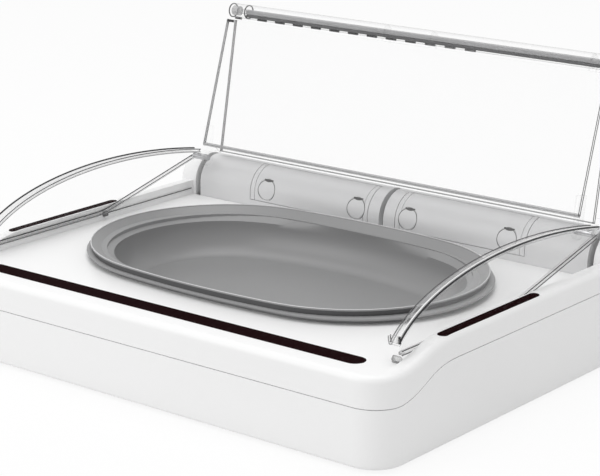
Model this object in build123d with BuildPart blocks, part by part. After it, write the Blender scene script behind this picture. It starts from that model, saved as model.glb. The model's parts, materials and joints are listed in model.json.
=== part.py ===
from build123d import *
from math import asin, atan2, cos, degrees, hypot, pi, radians, sin, sqrt
import os

os.makedirs("parts", exist_ok=True)

# Motion sensor pet bowl: a shallow base with a lift-out bowl, a battery tube across the back,
# and a clear folding lid that a gear motor opens when a sensor window sees the animal.
# Millimetres, +X to the right as the animal sees it, +Y to the back, +Z up from the floor.

# Base casing
base_width = 320.0
base_depth = 262.0
corner_radius = 18.0
wall = 2.4
foot_height = 1.5
foot_radius = 8.0
foot_pocket = 1.0
foot_inset = 44.0
floor_thickness = 2.4
bottom_edge = 2.0
foot_round = 0.6

# Heights above the floor, and the step where the low front rises to the side rims
front_split = 33.5
side_split_drop = 4.0
deck_height = 50.5
rim_rise = 9.0
rim_width = 9.0
step_start = 10.0
step_length = 54.0
split_gap = 0.4
front_edge = 4.0
margin = 5.0
overlap = 1.0
skin = 0.1

# Battery tube and its hinge axis
tube_radius = 16.5
tube_wall = 2.5
tube_inset = 32.5
tube_rise = 8.0
hub_gap = 4.0
tower_width = 11.5
spine_half = 10.5
spine_side = 1.5
motor_bay = 23.0
end_wall = 2.0
bay_wall = 2.5
seat_clearance = 0.15

# Folding lid, open: distances between its three axes and how far each arm leans
rear_arm = 109.6
open_lean = 6.0
front_arm = 95.5
front_lean = 17.7
closed_knuckle_rise = 30.5
closed_pin_rise = 7.5
panel_thickness = 2.5
lid_side_gap = 9.5
barrel_radius = 4.6
barrel_length = 12.0
middle_barrel = 34.0
barrel_gap = 0.4
hinge_pin_radius = 1.5
lid_tube_gap = 1.3
arm_thickness = 2.0
arm_reach = 3.5
arm_low_angle = 50.0
arm_high_angle = 26.0
centre_arm_low = 60.0
centre_arm_high = 50.0
centre_arm_reach = 8.0
lower_edge_lean = 12.0
slot_low = -20.0
slot_spare = 4.0
slot_clearance = 0.7
hub_clearance = 1.0
lug_radius = 5.0
lug_thickness = 3.0
lug_width = 7.0
end_pin_length = 30.0
guide_pin_radius = 2.0
guide_pin_gap = 0.8
panel_short = 8.0

# Shafts and running clearances
shaft_radius = 3.0
running = 0.06
press_depth = 3.0
shaft_gap = 0.2

# Side guards
guard_thickness = 1.8
guard_flange = 9.0
guard_gap = 0.2
path_clearance = 0.6
guard_below_rim = 3.0
guard_foot_depth = 12.0
guard_seat = 0.1
guard_rear_reach = 1.6
guard_rear_drop = 1.2
strut_run = 84.0
clip_inset = 131.0
clip_rise = 3.9
clip_size = 3.0
clip_width = 8.0
clip_reach = 2.0
clip_clearance = 0.2

# Bowl
bowl_width = 247.0
bowl_front_gap = 41.5
bowl_back_gap = 8.5
bowl_end_bulge = 7.5
bowl_rim_rise = 7.0
bowl_rim_lip = 1.4
rim_edge = 1.6
rim_undercut = 8.0
flange_width = 11.5
flange_drop = 4.0
basin_depth = 25.5
bowl_wall = 2.0
basin_slope_side = 18.0
basin_slope_front = 14.0
basin_round = 7.0
mat_thickness = 3.0
mat_margin = 0.8
recess_clearance = 1.2

# Sensor windows
window_width = 5.5
window_thickness = 2.0
window_clearance = 0.15
window_ledge = 1.0
front_window_length = 270.0
front_window_inset = 18.0
side_window_length = 90.0
side_window_inset = 100.0
side_window_edge = 5.2
board_thickness = 1.6
board_drop = 4.0
sensor_board_width = 10.0
front_board_length = 220.0
side_board_length = 80.0
side_board_edge = 10.0
emitter_radius = 1.6
emitter_gap = 0.5

# Battery doors, their catches and the cells behind them
door_thickness = 1.6
door_start = -12.0
door_end = 84.0
door_clearance = 0.5
door_outer = 102.5
door_groove_inset = 3.0
door_groove_width = 0.5
door_groove_depth = 0.4
catch_radius = 6.5
catch_clearance = 0.25
catch_angle = 15.8
catch_inner = 19.4
catch_outer = 89.9
catch_travel = 1.0
catch_spare = 0.4
cell_radius = 7.25
cell_length = 49.2
cell_nipple = 1.3
cell_nipple_radius = 2.7
edge_round = 0.8
cell_clearance = 0.35
cell_play = 0.3
cell_offset = 6.0
cell_angle = 36.0
contact_thickness = 0.5
contact_radius = 6.0
door_ledge = 2.0

# Drive train: gears on the hinge axis and two axes below it
gear_module = 1.0
output_teeth = 24
idler_teeth = 20
pinion_teeth = 12
gear_width = 6.0
gear_backlash = 0.12
gear_side_gap = 1.0
pressure_angle = 20.0
gear_addendum = 0.9
gear_dedendum = 1.2
root_widening = 0.02
motor_radius = 11.0
motor_length = 34.0
motor_shaft_radius = 1.5
motor_collar = 4.0
bracket_thickness = 2.5
bracket_margin = 3.0

# Electronics, buttons and screws
main_board_x = -60.0
main_board_width = 80.0
main_board_depth = 26.0
main_board_height = 12.0
standoff_radius = 3.0
standoff_inset = 4.5
chip_size = 14.0
plug_width = 8.0
plug_depth = 12.0
board_part_height = 2.2
button_radius = 4.5
button_clearance = 0.3
button_proud = 1.5
button_edge = 2.0
button_depth = 6.0
button_travel = 1.2
button_spacing = 26.0
button_board_width = 52.0
button_board_depth = 12.0
button_board_height = 38.0
switch_radius = 2.5
post_radius = 2.0
post_inset = 5.0
screw_radius = 1.5
screw_head_radius = 3.0
screw_head_height = 2.4
screw_socket_radius = 1.3
screw_socket_depth = 1.2
boss_radius = 4.2
boss_join = 24.0
screw_length = 28.0
boss_inset = 20.0

# Places worked out from the sizes above
front = -base_depth / 2
back = base_depth / 2
half = base_width / 2
deck_under = deck_height - wall
side_split = deck_height - side_split_drop
rim_height = deck_height + rim_rise
tube_height = deck_height + tube_rise
closed_knuckle_height = deck_height + closed_knuckle_rise
closed_pin_height = deck_height + closed_pin_rise
bowl_rim_height = deck_height + bowl_rim_rise
bowl_floor_height = bowl_rim_height - basin_depth
tube_y = back - tube_inset
tower_inner = half - tower_width
tube_half = tower_inner - hub_gap
hub_middle = tube_half + hub_gap / 2
battery_inner = spine_half + spine_side
bay_start = tube_half - end_wall - motor_bay
bowl_back = tube_y - tube_radius - bowl_back_gap
bowl_depth = bowl_back - front - bowl_front_gap
bowl_y = bowl_back - bowl_depth / 2
mat_top = deck_height + mat_thickness
flange_inner = bowl_rim_height - flange_drop
basin_lean = basin_slope_front / (flange_inner - bowl_floor_height)
body_inset = flange_width - bowl_wall
seat_inset = body_inset + basin_lean * (flange_inner - mat_top) - recess_clearance
inner_rim = half - rim_width
guard_outer = inner_rim - guard_gap
guard_inner = guard_outer - guard_thickness
lid_half = guard_inner - lid_side_gap
cell_bore = tube_radius - tube_wall


def label_and_save(piece, name):
    piece.part.label = name
    export_step(piece.part, f"parts/{name}.step")


def polar(radius, angle):
    """A point round the hinge axis; the angle starts forward (-Y) and grows upward."""
    return (tube_y - radius * cos(radians(angle)), tube_height + radius * sin(radians(angle)))


def along(start, end, distance):
    """The point at a distance from start towards end."""
    size = hypot(end[0] - start[0], end[1] - start[1])
    return (start[0] + (end[0] - start[0]) * distance / size, start[1] + (end[1] - start[1]) * distance / size)


def aside(start, end, distance):
    """The vector square to the line from start to end, forward of it when the distance is positive."""
    size = hypot(end[0] - start[0], end[1] - start[1])
    return (-(end[1] - start[1]) * distance / size, (end[0] - start[0]) * distance / size)


def strip(start, end, thickness):
    """A straight strip of even thickness round the line from start to end."""
    dy, dz = aside(start, end, thickness / 2)
    with BuildSketch() as band:
        with BuildLine():
            Polyline(
                (start[0] + dy, start[1] + dz),
                (end[0] + dy, end[1] + dz),
                (end[0] - dy, end[1] - dz),
                (start[0] - dy, start[1] - dz),
                close=True,
            )
        make_face()
    return band.sketch


def step_profile(low, high, top):
    """The closed side profile above a line that runs low at the front, then rises to the rims."""
    start = front + step_start
    end = start + step_length
    with BuildSketch() as profile:
        with BuildLine():
            Line((front - margin, low), (start, low))
            Bezier((start, low), (start + step_length / 2, low), (end - step_length / 2, high), (end, high))
            Line((end, high), (back + margin, high))
            Polyline((back + margin, high), (back + margin, top), (front - margin, top), (front - margin, low))
        make_face()
    return profile.sketch


def oval(half_width, half_depth, end_radius):
    """A plan round the bowl's centre: two end arcs and two long ones that run smoothly into them."""
    end_x = half_width - end_radius
    long_y = (end_x**2 - (half_depth - end_radius) ** 2) / (2 * (half_depth - end_radius))
    meet_x = end_x + end_radius * end_x / hypot(end_x, long_y)
    meet_y = end_radius * long_y / hypot(end_x, long_y)
    with BuildSketch() as plan:
        with BuildLine():
            ThreePointArc((-meet_x, bowl_y - meet_y), (0, bowl_y - half_depth), (meet_x, bowl_y - meet_y))
            ThreePointArc((meet_x, bowl_y - meet_y), (half_width, bowl_y), (meet_x, bowl_y + meet_y))
            ThreePointArc((meet_x, bowl_y + meet_y), (0, bowl_y + half_depth), (-meet_x, bowl_y + meet_y))
            ThreePointArc((-meet_x, bowl_y + meet_y), (-half_width, bowl_y), (-meet_x, bowl_y - meet_y))
        make_face()
    return plan.sketch


def bowl_outline(inset):
    """The bowl's plan, drawn in by an inset."""
    return oval(bowl_width / 2 - inset, bowl_depth / 2 - inset, bowl_depth / 2 - bowl_end_bulge - inset)


def basin_outline(inset):
    """The plan of the basin's floor, which its sloping walls draw in further along X than along Y."""
    half_depth = bowl_depth / 2 - flange_width - basin_slope_front - inset
    return oval(
        bowl_width / 2 - flange_width - basin_slope_side - inset,
        half_depth,
        half_depth - bowl_end_bulge,
    )


# Lid geometry: the knuckle and guide pin, open and at any share of the closing turn
closed_rise = degrees(asin((closed_knuckle_height - tube_height) / rear_arm))
closed_drop = degrees(asin((closed_knuckle_height - closed_pin_height) / front_arm))
rear_turn = 90 + open_lean - closed_rise
front_turn = 90 - front_lean - closed_drop
fold_turn = rear_turn + front_turn


def knuckle_at(share):
    return polar(rear_arm, 90 + open_lean - rear_turn * share)


def pin_at(share):
    """The guide pin when the lid has closed by this share, both hinges turning in step."""
    y, z = knuckle_at(share)
    angle = 90 - front_lean - front_turn * share
    return (y - front_arm * cos(radians(angle)), z - front_arm * sin(radians(angle)))


def guard_line(offset, count=9):
    """Points of the guide pin's path, moved outward by an offset."""
    points = []
    for index in range(count):
        share = index / (count - 1)
        before = pin_at(max(share - 0.01, 0))
        after = pin_at(min(share + 0.01, 1))
        dy = after[0] - before[0]
        dz = after[1] - before[1]
        size = hypot(dy, dz)
        y, z = pin_at(share)
        points.append((y + offset * dz / size, z - offset * dy / size))
    return points


knuckle = knuckle_at(0)
guide = pin_at(0)
print("tube axis", round(tube_y, 3), tube_height)
print("knuckle", [round(v, 3) for v in knuckle], "guide pin", [round(v, 3) for v in guide])
print("rear turn", round(rear_turn, 3), "fold turn", round(fold_turn, 3))
print("ratio", round(fold_turn / rear_turn, 5))


# Lower casing: an open tray with bosses for the screws, cut to the stepped parting line
boss_rows = (front + boss_inset, 0, back - boss_inset / 2)
boss_points = [(x * (half - boss_inset), y) for x in (-1, 1) for y in boss_rows]
foot_points = [(x * (half - foot_inset), y * (back - foot_inset)) for x in (-1, 1) for y in (-1, 1)]
standoff_x = main_board_width / 2 - standoff_inset
standoff_y = main_board_depth / 2 - standoff_inset
standoff_points = [(main_board_x + x * standoff_x, tube_y + y * standoff_y) for x in (-1, 1) for y in (-1, 1)]

above_lower = step_profile(front_split - split_gap / 2, side_split - split_gap / 2, rim_height + margin)

with BuildPart() as lower_casing:
    with BuildSketch(Plane.XY.offset(foot_height)):
        RectangleRounded(base_width, base_depth, corner_radius)
    extrude(amount=rim_height - foot_height)
    fillet(lower_casing.faces().sort_by(Axis.Z)[0].edges(), bottom_edge)
    with BuildSketch(Plane.XY.offset(foot_height + floor_thickness)):
        RectangleRounded(base_width - 2 * wall, base_depth - 2 * wall, corner_radius - wall)
    extrude(amount=rim_height, mode=Mode.SUBTRACT)
    with BuildSketch(Plane.XY.offset(foot_height)):
        with Locations(*boss_points):
            Circle(boss_radius)
    extrude(amount=boss_join - foot_height)
    with BuildSketch(Plane.XY.offset(foot_height + floor_thickness)):
        with Locations(*standoff_points):
            Circle(standoff_radius)
    extrude(amount=main_board_height - foot_height - floor_thickness)
    with BuildSketch(Plane.YZ):
        add(above_lower)
    extrude(amount=half + margin, both=True, mode=Mode.SUBTRACT)
    with BuildSketch(Plane.XY):
        with Locations(*boss_points):
            Circle(screw_radius + running)
    extrude(amount=boss_join + overlap, mode=Mode.SUBTRACT)
    with BuildSketch(Plane.XY):
        with Locations(*boss_points):
            Circle(screw_head_radius + running)
    extrude(amount=foot_height + screw_head_height, mode=Mode.SUBTRACT)
    with BuildSketch(Plane.XY):
        with Locations(*foot_points):
            Circle(foot_radius + running)
    extrude(amount=foot_height + foot_pocket, mode=Mode.SUBTRACT)
label_and_save(lower_casing, "lower_casing")

with BuildPart() as rubber_feet:
    with BuildSketch(Plane.XY):
        with Locations(*foot_points):
            Circle(foot_radius)
    extrude(amount=foot_height + foot_pocket)
    fillet(rubber_feet.edges().filter_by(GeomType.CIRCLE).group_by(Axis.Z)[0], foot_round)
label_and_save(rubber_feet, "rubber_feet")

with BuildPart() as casing_screws:
    with BuildSketch(Plane.XY.offset(foot_height)):
        with Locations(*boss_points):
            Circle(screw_head_radius)
    extrude(amount=screw_head_height)
    with BuildSketch(Plane.XY.offset(foot_height)):
        with Locations(*boss_points):
            Circle(screw_radius)
    extrude(amount=screw_length)
    with BuildSketch(Plane.XY.offset(foot_height)):
        with Locations(*boss_points):
            RegularPolygon(screw_socket_radius, 6)
    extrude(amount=screw_socket_depth, mode=Mode.SUBTRACT)
label_and_save(casing_screws, "casing_screws")

# Upper casing: deck, side rims and end towers, open for the bowl and for the battery tube
front_window_y = front + front_window_inset
side_window_x = half - side_window_edge
side_window_y = front + side_window_inset
button_y = tube_y + tube_radius + button_radius + button_edge
button_points = [(x * button_spacing / 2, button_y) for x in (-1, 1)]
button_posts = [(x * (button_board_width / 2 - 1.5 * post_radius), button_y) for x in (-1, 1)]
side_board_x = half - side_board_edge
sensor_posts = [(x * (front_board_length / 2 - post_inset), front_window_y) for x in (-1, 1)]
side_post_x = side_board_x - sensor_board_width / 2 + post_radius
side_post_y = side_board_length / 2 - post_inset
sensor_posts += [(x * side_post_x, side_window_y + y * side_post_y) for x in (-1, 1) for y in (-1, 1)]
clip_y = front + clip_inset
clip_z = deck_height + clip_rise
hub_hole = shaft_radius + running


def outer_top_edge(edge):
    """True for the edges round the outside of the casing's top, which the hand meets."""
    middle = edge.position_at(0.5)
    outside = abs(middle.X) > half - corner_radius or abs(middle.Y) > back - corner_radius
    crosses = min(abs(edge.position_at(0).X - edge.position_at(1).X), abs(middle.Y - front)) > 2 * corner_radius
    return middle.Z > deck_height - 0.01 and outside and not crosses


above_top = step_profile(deck_height, rim_height, rim_height + margin)
above_upper = step_profile(front_split + split_gap / 2, side_split + split_gap / 2, 3 * rim_height)

with BuildPart() as upper_casing:
    with BuildSketch(Plane.XY.offset(front_split - split_gap)):
        RectangleRounded(base_width, base_depth, corner_radius)
    extrude(amount=rim_height - front_split + split_gap)
    with BuildSketch(Plane.YZ):
        add(above_top)
    extrude(amount=half + margin, both=True, mode=Mode.SUBTRACT)
    outer_top = upper_casing.edges().filter_by(outer_top_edge)
    fillet(outer_top, front_edge)
    with BuildSketch(Plane.XY.offset(deck_height)):
        with Locations((0, (front - margin + tube_y - tube_radius) / 2)):
            Rectangle(2 * inner_rim, tube_y - tube_radius - front + margin)
    extrude(amount=rim_height, mode=Mode.SUBTRACT)
    with BuildSketch(Plane.XY):
        RectangleRounded(base_width - 2 * wall, base_depth - 2 * wall, corner_radius - wall)
    extrude(amount=deck_under, mode=Mode.SUBTRACT)
    with BuildSketch(Plane.YZ.offset(tower_inner)):
        with Locations((tube_y, tube_height)):
            Circle(tube_radius)
    extrude(amount=tower_width)
    with BuildSketch(Plane.YZ.offset(-half)):
        with Locations((tube_y, tube_height)):
            Circle(tube_radius)
    extrude(amount=tower_width)
    with BuildSketch(Plane.XY.offset(deck_under)):
        for side in (-1, 1):
            with Locations((side * (tower_inner + tower_width / 2 - wall / 2), tube_y)):
                Rectangle(tower_width - wall, 2 * tube_radius)
    extrude(amount=tube_height - deck_under)
    with BuildSketch(Plane.YZ):
        add(above_upper)
    extrude(amount=half + margin, both=True, mode=Mode.INTERSECT)
    with BuildSketch(Plane.XY.offset(boss_join)):
        with Locations(*boss_points):
            Circle(boss_radius)
    extrude(amount=deck_under + overlap - boss_join)
    with BuildSketch(Plane.XY.offset(deck_under - board_drop)):
        with Locations(*sensor_posts):
            Circle(post_radius)
    extrude(amount=board_drop + overlap)
    with BuildSketch(Plane.XY.offset(button_board_height + board_thickness)):
        with Locations(*button_posts):
            Circle(post_radius)
    extrude(amount=deck_under + overlap - button_board_height - board_thickness)
    with BuildSketch(Plane.XY):
        add(bowl_outline(seat_inset))
    extrude(amount=rim_height, mode=Mode.SUBTRACT)
    with BuildSketch(Plane.XY):
        with Locations((0, tube_y)):
            Rectangle(2 * tower_inner, 2 * (tube_radius + seat_clearance))
    extrude(amount=3 * rim_height, mode=Mode.SUBTRACT)
    with BuildSketch(Plane.XY.offset(deck_height - window_thickness)):
        with Locations((0, front_window_y)):
            SlotOverall(front_window_length + 2 * window_clearance, window_width + 2 * window_clearance)
    extrude(amount=window_thickness, mode=Mode.SUBTRACT)
    with BuildSketch(Plane.XY.offset(deck_under - overlap)):
        with Locations((0, front_window_y)):
            SlotOverall(front_window_length - window_width, window_width - 2 * window_ledge)
    extrude(amount=wall + overlap, mode=Mode.SUBTRACT)
    with BuildSketch(Plane.XY.offset(rim_height - window_thickness)):
        for side in (-1, 1):
            with Locations((side * side_window_x, side_window_y)):
                SlotOverall(side_window_length + 2 * window_clearance, window_width + 2 * window_clearance, 90)
    extrude(amount=window_thickness, mode=Mode.SUBTRACT)
    with BuildSketch(Plane.XY.offset(deck_under - overlap)):
        for side in (-1, 1):
            with Locations((side * side_window_x, side_window_y)):
                SlotOverall(side_window_length - window_width, window_width - 2 * window_ledge, 90)
    extrude(amount=rim_height, mode=Mode.SUBTRACT)
    with BuildSketch(Plane.XY.offset(deck_under - overlap)):
        with Locations(*button_points):
            Circle(button_radius + button_clearance)
    extrude(amount=rim_height, mode=Mode.SUBTRACT)
    with BuildSketch(Plane.YZ.offset(tower_inner - overlap)):
        with Locations((tube_y, tube_height)):
            Circle(hub_hole)
    extrude(amount=press_depth + overlap, mode=Mode.SUBTRACT)
    with BuildSketch(Plane.YZ.offset(overlap - tower_inner)):
        with Locations((tube_y, tube_height)):
            Circle(hub_hole)
    extrude(amount=-press_depth - overlap, mode=Mode.SUBTRACT)
    for side in (-1, 1):
        with BuildSketch(Plane.YZ.offset(side * (inner_rim - skin))):
            with Locations((clip_y, clip_z)):
                Rectangle(clip_size + 2 * clip_clearance, clip_size + 2 * clip_clearance)
        extrude(amount=side * (clip_reach + 2 * clip_clearance + skin), mode=Mode.SUBTRACT)
    with BuildSketch(Plane.XY):
        with Locations(*boss_points):
            Circle(screw_radius)
    extrude(amount=foot_height + screw_length + overlap, mode=Mode.SUBTRACT)
label_and_save(upper_casing, "upper_casing")

# Hinge tube across the back: two battery bays, a gear bay at each end and a slotted spine
bay_length = 2 * (cell_length + cell_nipple) + 2 * contact_thickness + 3 * cell_play
cell_centre = polar(cell_offset, cell_angle)
gear_middle = bay_start + motor_bay / 2
output_pitch = gear_module * output_teeth / 2
idler_pitch = gear_module * idler_teeth / 2
pinion_pitch = gear_module * pinion_teeth / 2
idler_z = tube_height - output_pitch - idler_pitch
motor_z = idler_z - idler_pitch - pinion_pitch
spine_hub = tube_radius / 2
spine_slot = arm_thickness + 2 * slot_clearance


def door_section(grow, inner, turn):
    """The curved section of a battery door, or of its recess when grown."""
    with BuildSketch() as section:
        with Locations((tube_y, tube_height)):
            Circle(tube_radius + grow)
        with Locations((tube_y, (tube_height + deck_under) / 2)):
            Rectangle(2 * (tube_radius + grow), tube_height - deck_under)
        with BuildLine():
            Polyline(
                (tube_y, tube_height),
                polar(4 * tube_radius, door_start - turn),
                polar(4 * tube_radius, (door_start + door_end) / 2),
                polar(4 * tube_radius, door_end + turn),
                close=True,
            )
        make_face(mode=Mode.INTERSECT)
        with Locations((tube_y, tube_height)):
            Circle(inner, mode=Mode.SUBTRACT)
    return section.sketch


def wedge(inner_angle, outer_angle, reach):
    """A flat sector round the hinge axis between two angles."""
    with BuildSketch() as sector:
        with BuildLine():
            Polyline(
                (tube_y, tube_height),
                polar(reach, inner_angle),
                polar(reach, (inner_angle + outer_angle) / 2),
                polar(reach, outer_angle),
                close=True,
            )
        make_face()
    return sector.sketch


door_turn = degrees(door_clearance / tube_radius)
door_recess = door_section(overlap, tube_radius - door_thickness, door_turn)
door_profile = door_section(0, tube_radius - door_thickness + seat_clearance, 0)
door_groove = door_section(overlap, tube_radius - door_groove_depth, door_turn)
slot_wedge = wedge(slot_low, 90 + 2 * open_lean + slot_spare, 2 * tube_radius)
mouth_half = cell_radius + cell_clearance
cell_mouth = strip(cell_centre, polar(cell_offset + tube_radius, cell_angle), 2 * mouth_half)
catch_points = [(side * x, 0) for side in (-1, 1) for x in (catch_inner, catch_outer)]
catch_plane = Plane(
    origin=(0, tube_y, tube_height),
    x_dir=(1, 0, 0),
    z_dir=(0, -cos(radians(catch_angle)), sin(radians(catch_angle))),
)
catch_bore = catch_radius + catch_clearance
catch_pocket = sqrt((tube_radius - door_thickness) ** 2 - catch_bore**2) - catch_travel - catch_spare

with BuildPart() as hinge_tube:
    with BuildSketch(Plane.YZ):
        with Locations((tube_y, tube_height)):
            Circle(tube_radius)
        with Locations((tube_y, (tube_height + deck_under) / 2)):
            Rectangle(2 * tube_radius, tube_height - deck_under)
    extrude(amount=tube_half, both=True)
    for side in (-1, 1):
        with BuildSketch(Plane.YZ.offset(side * battery_inner)):
            with Locations(cell_centre):
                Circle(mouth_half)
        extrude(amount=side * bay_length, mode=Mode.SUBTRACT)
        with BuildSketch(Plane.YZ.offset(side * battery_inner)):
            add(cell_mouth)
        extrude(amount=side * (door_outer - door_ledge - battery_inner), mode=Mode.SUBTRACT)
        with BuildSketch(Plane.YZ.offset(side * (spine_half - door_clearance))):
            add(door_recess)
        extrude(amount=side * (door_outer - spine_half + 2 * door_clearance), mode=Mode.SUBTRACT)
        with BuildSketch(Plane.YZ.offset(side * bay_start)):
            with Locations((tube_y, tube_height)):
                Circle(cell_bore)
        extrude(amount=side * motor_bay, mode=Mode.SUBTRACT)
        with BuildSketch(Plane.YZ.offset(side * (bay_start - bay_wall))):
            with Locations((tube_y, tube_height)):
                Circle(shaft_radius + running)
        extrude(amount=side * (motor_bay + bay_wall + end_wall + overlap), mode=Mode.SUBTRACT)
    with BuildSketch(Plane.XY.offset(idler_z)):
        with Locations((gear_middle, tube_y)):
            Rectangle(gear_width + 2 * gear_side_gap, 2 * (idler_pitch + 2 * gear_module))
    extrude(amount=idler_pitch + 2 * gear_module, mode=Mode.SUBTRACT)
    with BuildSketch(Plane.YZ):
        add(slot_wedge)
        with Locations((tube_y, tube_height)):
            Circle(spine_hub + hub_clearance)
    extrude(amount=spine_slot / 2, both=True, mode=Mode.SUBTRACT)
    with BuildSketch(Plane.YZ.offset(overlap - spine_half)):
        with Locations((tube_y, tube_height)):
            Circle(hinge_pin_radius)
    extrude(amount=2 * (spine_half - overlap), mode=Mode.SUBTRACT)
    with BuildSketch(catch_plane.offset(catch_pocket)):
        with Locations(*catch_points):
            Circle(catch_bore)
    extrude(amount=tube_radius, mode=Mode.SUBTRACT)
label_and_save(hinge_tube, "hinge_tube")

# Battery doors with their press catches, and the cells and contacts behind them
for side, name in ((-1, "left"), (1, "right")):
    with BuildPart() as battery_door:
        with BuildSketch(Plane.YZ.offset(side * spine_half)):
            add(door_profile)
        extrude(amount=side * (door_outer - spine_half))
        with BuildSketch(catch_plane):
            with Locations(*catch_points):
                Circle(catch_bore)
        extrude(amount=2 * tube_radius, mode=Mode.SUBTRACT)
        for groove_x in (spine_half + door_groove_inset, door_outer - door_groove_inset - door_groove_width):
            with BuildSketch(Plane.YZ.offset(side * groove_x)):
                add(door_groove)
            extrude(amount=side * door_groove_width, mode=Mode.SUBTRACT)
    label_and_save(battery_door, f"{name}_battery_door")
    for place, catch_x in (("inner", catch_inner), ("outer", catch_outer)):
        with BuildPart() as door_catch:
            with BuildSketch(Plane.YZ.offset(side * spine_half)):
                add(door_profile)
            extrude(amount=side * (door_outer - spine_half))
            with BuildSketch(catch_plane):
                with Locations((side * catch_x, 0)):
                    Circle(catch_radius)
            extrude(amount=2 * tube_radius, mode=Mode.INTERSECT)
        label_and_save(door_catch, f"{name}_{place}_catch")
    for number in (1, 2):
        cell_start = contact_thickness + cell_play + (number - 1) * (cell_length + cell_nipple + cell_play)
        with BuildPart() as battery_cell:
            with BuildSketch(Plane.YZ.offset(side * (battery_inner + cell_start))):
                with Locations(cell_centre):
                    Circle(cell_radius)
            extrude(amount=side * cell_length)
            fillet(battery_cell.edges().filter_by(GeomType.CIRCLE), edge_round)
            with BuildSketch(Plane.YZ.offset(side * (battery_inner + cell_start + cell_length))):
                with Locations(cell_centre):
                    Circle(cell_nipple_radius)
            extrude(amount=side * cell_nipple)
        label_and_save(battery_cell, f"{name}_cell_{number}")

with BuildPart() as battery_contacts:
    for side in (-1, 1):
        with BuildSketch(Plane.YZ.offset(side * battery_inner)):
            with Locations(cell_centre):
                Circle(contact_radius)
        extrude(amount=side * contact_thickness)
        with BuildSketch(Plane.YZ.offset(side * (battery_inner + bay_length))):
            with Locations(cell_centre):
                Circle(contact_radius)
        extrude(amount=-side * contact_thickness)
label_and_save(battery_contacts, "battery_contacts")

# Folding lid, drawn open: the rear panel rides on the hinge axis, the front panel hangs before it
plate_offset = barrel_radius - panel_thickness / 2
plate_gap = barrel_radius + barrel_gap + panel_thickness / 2
rear_low = polar(tube_radius + lid_tube_gap + panel_thickness / 2, 90 + open_lean - lower_edge_lean)
rear_side = aside(rear_low, knuckle, -plate_offset)
rear_top = (knuckle[0] + rear_side[0], knuckle[1] + rear_side[1])
rear_length = hypot(rear_top[0] - rear_low[0], rear_top[1] - rear_low[1])
rear_plate = strip(rear_low, along(rear_low, rear_top, rear_length - plate_gap), panel_thickness)
rear_tab = strip(rear_low, rear_top, panel_thickness)
rear_foot = strip(rear_low, along(rear_low, rear_top, arm_reach), panel_thickness)
end_barrels = [(side * (lid_half - barrel_length / 2), barrel_length) for side in (-1, 1)]
rear_barrels = end_barrels + [(0, middle_barrel)]
front_barrel_length = lid_half - barrel_length - middle_barrel / 2 - 2 * barrel_gap
front_barrel_x = middle_barrel / 2 + barrel_gap + front_barrel_length / 2
arm_low = polar(tube_radius - hub_clearance, 90 + open_lean - arm_low_angle)
arm_high = polar(tube_radius - hub_clearance, 90 + open_lean + arm_high_angle)
arm_top = along(rear_low, rear_top, arm_reach)

with BuildPart() as lid_rear_panel:
    with BuildSketch(Plane.YZ):
        add(rear_plate)
    extrude(amount=lid_half, both=True)
    for barrel_x, barrel_size in rear_barrels:
        with BuildSketch(Plane.YZ.offset(barrel_x)):
            add(rear_tab)
            with Locations(knuckle):
                Circle(barrel_radius)
        extrude(amount=barrel_size / 2, both=True)
    with BuildSketch(Plane.YZ):
        with Locations(knuckle):
            Circle(hinge_pin_radius)
    extrude(amount=lid_half, both=True, mode=Mode.SUBTRACT)
    for side in (-1, 1):
        with BuildSketch(Plane.YZ.offset(side * (lid_half - overlap))):
            add(rear_foot)
        extrude(amount=side * (hub_middle + arm_thickness / 2 - lid_half + overlap))
        with BuildSketch(Plane.YZ.offset(side * hub_middle)):
            with Locations((tube_y, tube_height)):
                Circle(tube_radius - hub_clearance)
            with BuildLine():
                Polyline((tube_y, tube_height), arm_low, arm_top, arm_high, close=True)
            make_face()
        extrude(amount=arm_thickness / 2, both=True)
    with BuildSketch(Plane.YZ):
        with Locations((tube_y, tube_height)):
            Circle(spine_hub)
        with BuildLine():
            Polyline(
                polar(spine_hub / 2, 90 + open_lean - centre_arm_low),
                along(rear_low, rear_top, -lid_tube_gap / 2),
                along(rear_low, rear_top, centre_arm_reach),
                polar(spine_hub / 2, 90 + open_lean + centre_arm_high),
                close=True,
            )
        make_face()
    extrude(amount=arm_thickness / 2, both=True)
    with BuildSketch(Plane.YZ):
        with Locations((tube_y, tube_height)):
            Circle(hinge_pin_radius + running)
    extrude(amount=spine_half, both=True, mode=Mode.SUBTRACT)
    with BuildSketch(Plane.YZ.offset(tube_half)):
        with Locations((tube_y, tube_height)):
            Circle(shaft_radius)
    extrude(amount=hub_gap, mode=Mode.SUBTRACT)
    with BuildSketch(Plane.YZ.offset(-tube_half)):
        with Locations((tube_y, tube_height)):
            Circle(shaft_radius + running)
    extrude(amount=-hub_gap, mode=Mode.SUBTRACT)
label_and_save(lid_rear_panel, "lid_rear_panel")

front_side = aside(knuckle, guide, plate_offset)
front_top = (knuckle[0] - abs(front_side[0]), knuckle[1] + abs(front_side[1]))
front_low = (guide[0] - abs(front_side[0]), guide[1] + abs(front_side[1]))
front_end = along(front_top, front_low, front_arm - panel_short)
front_plate = strip(along(front_top, front_low, plate_gap), front_end, panel_thickness)
front_tab = strip(front_top, front_end, panel_thickness)
lug_tab = strip(along(front_top, front_low, front_arm - 2.5 * panel_short), guide, lug_width)

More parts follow.
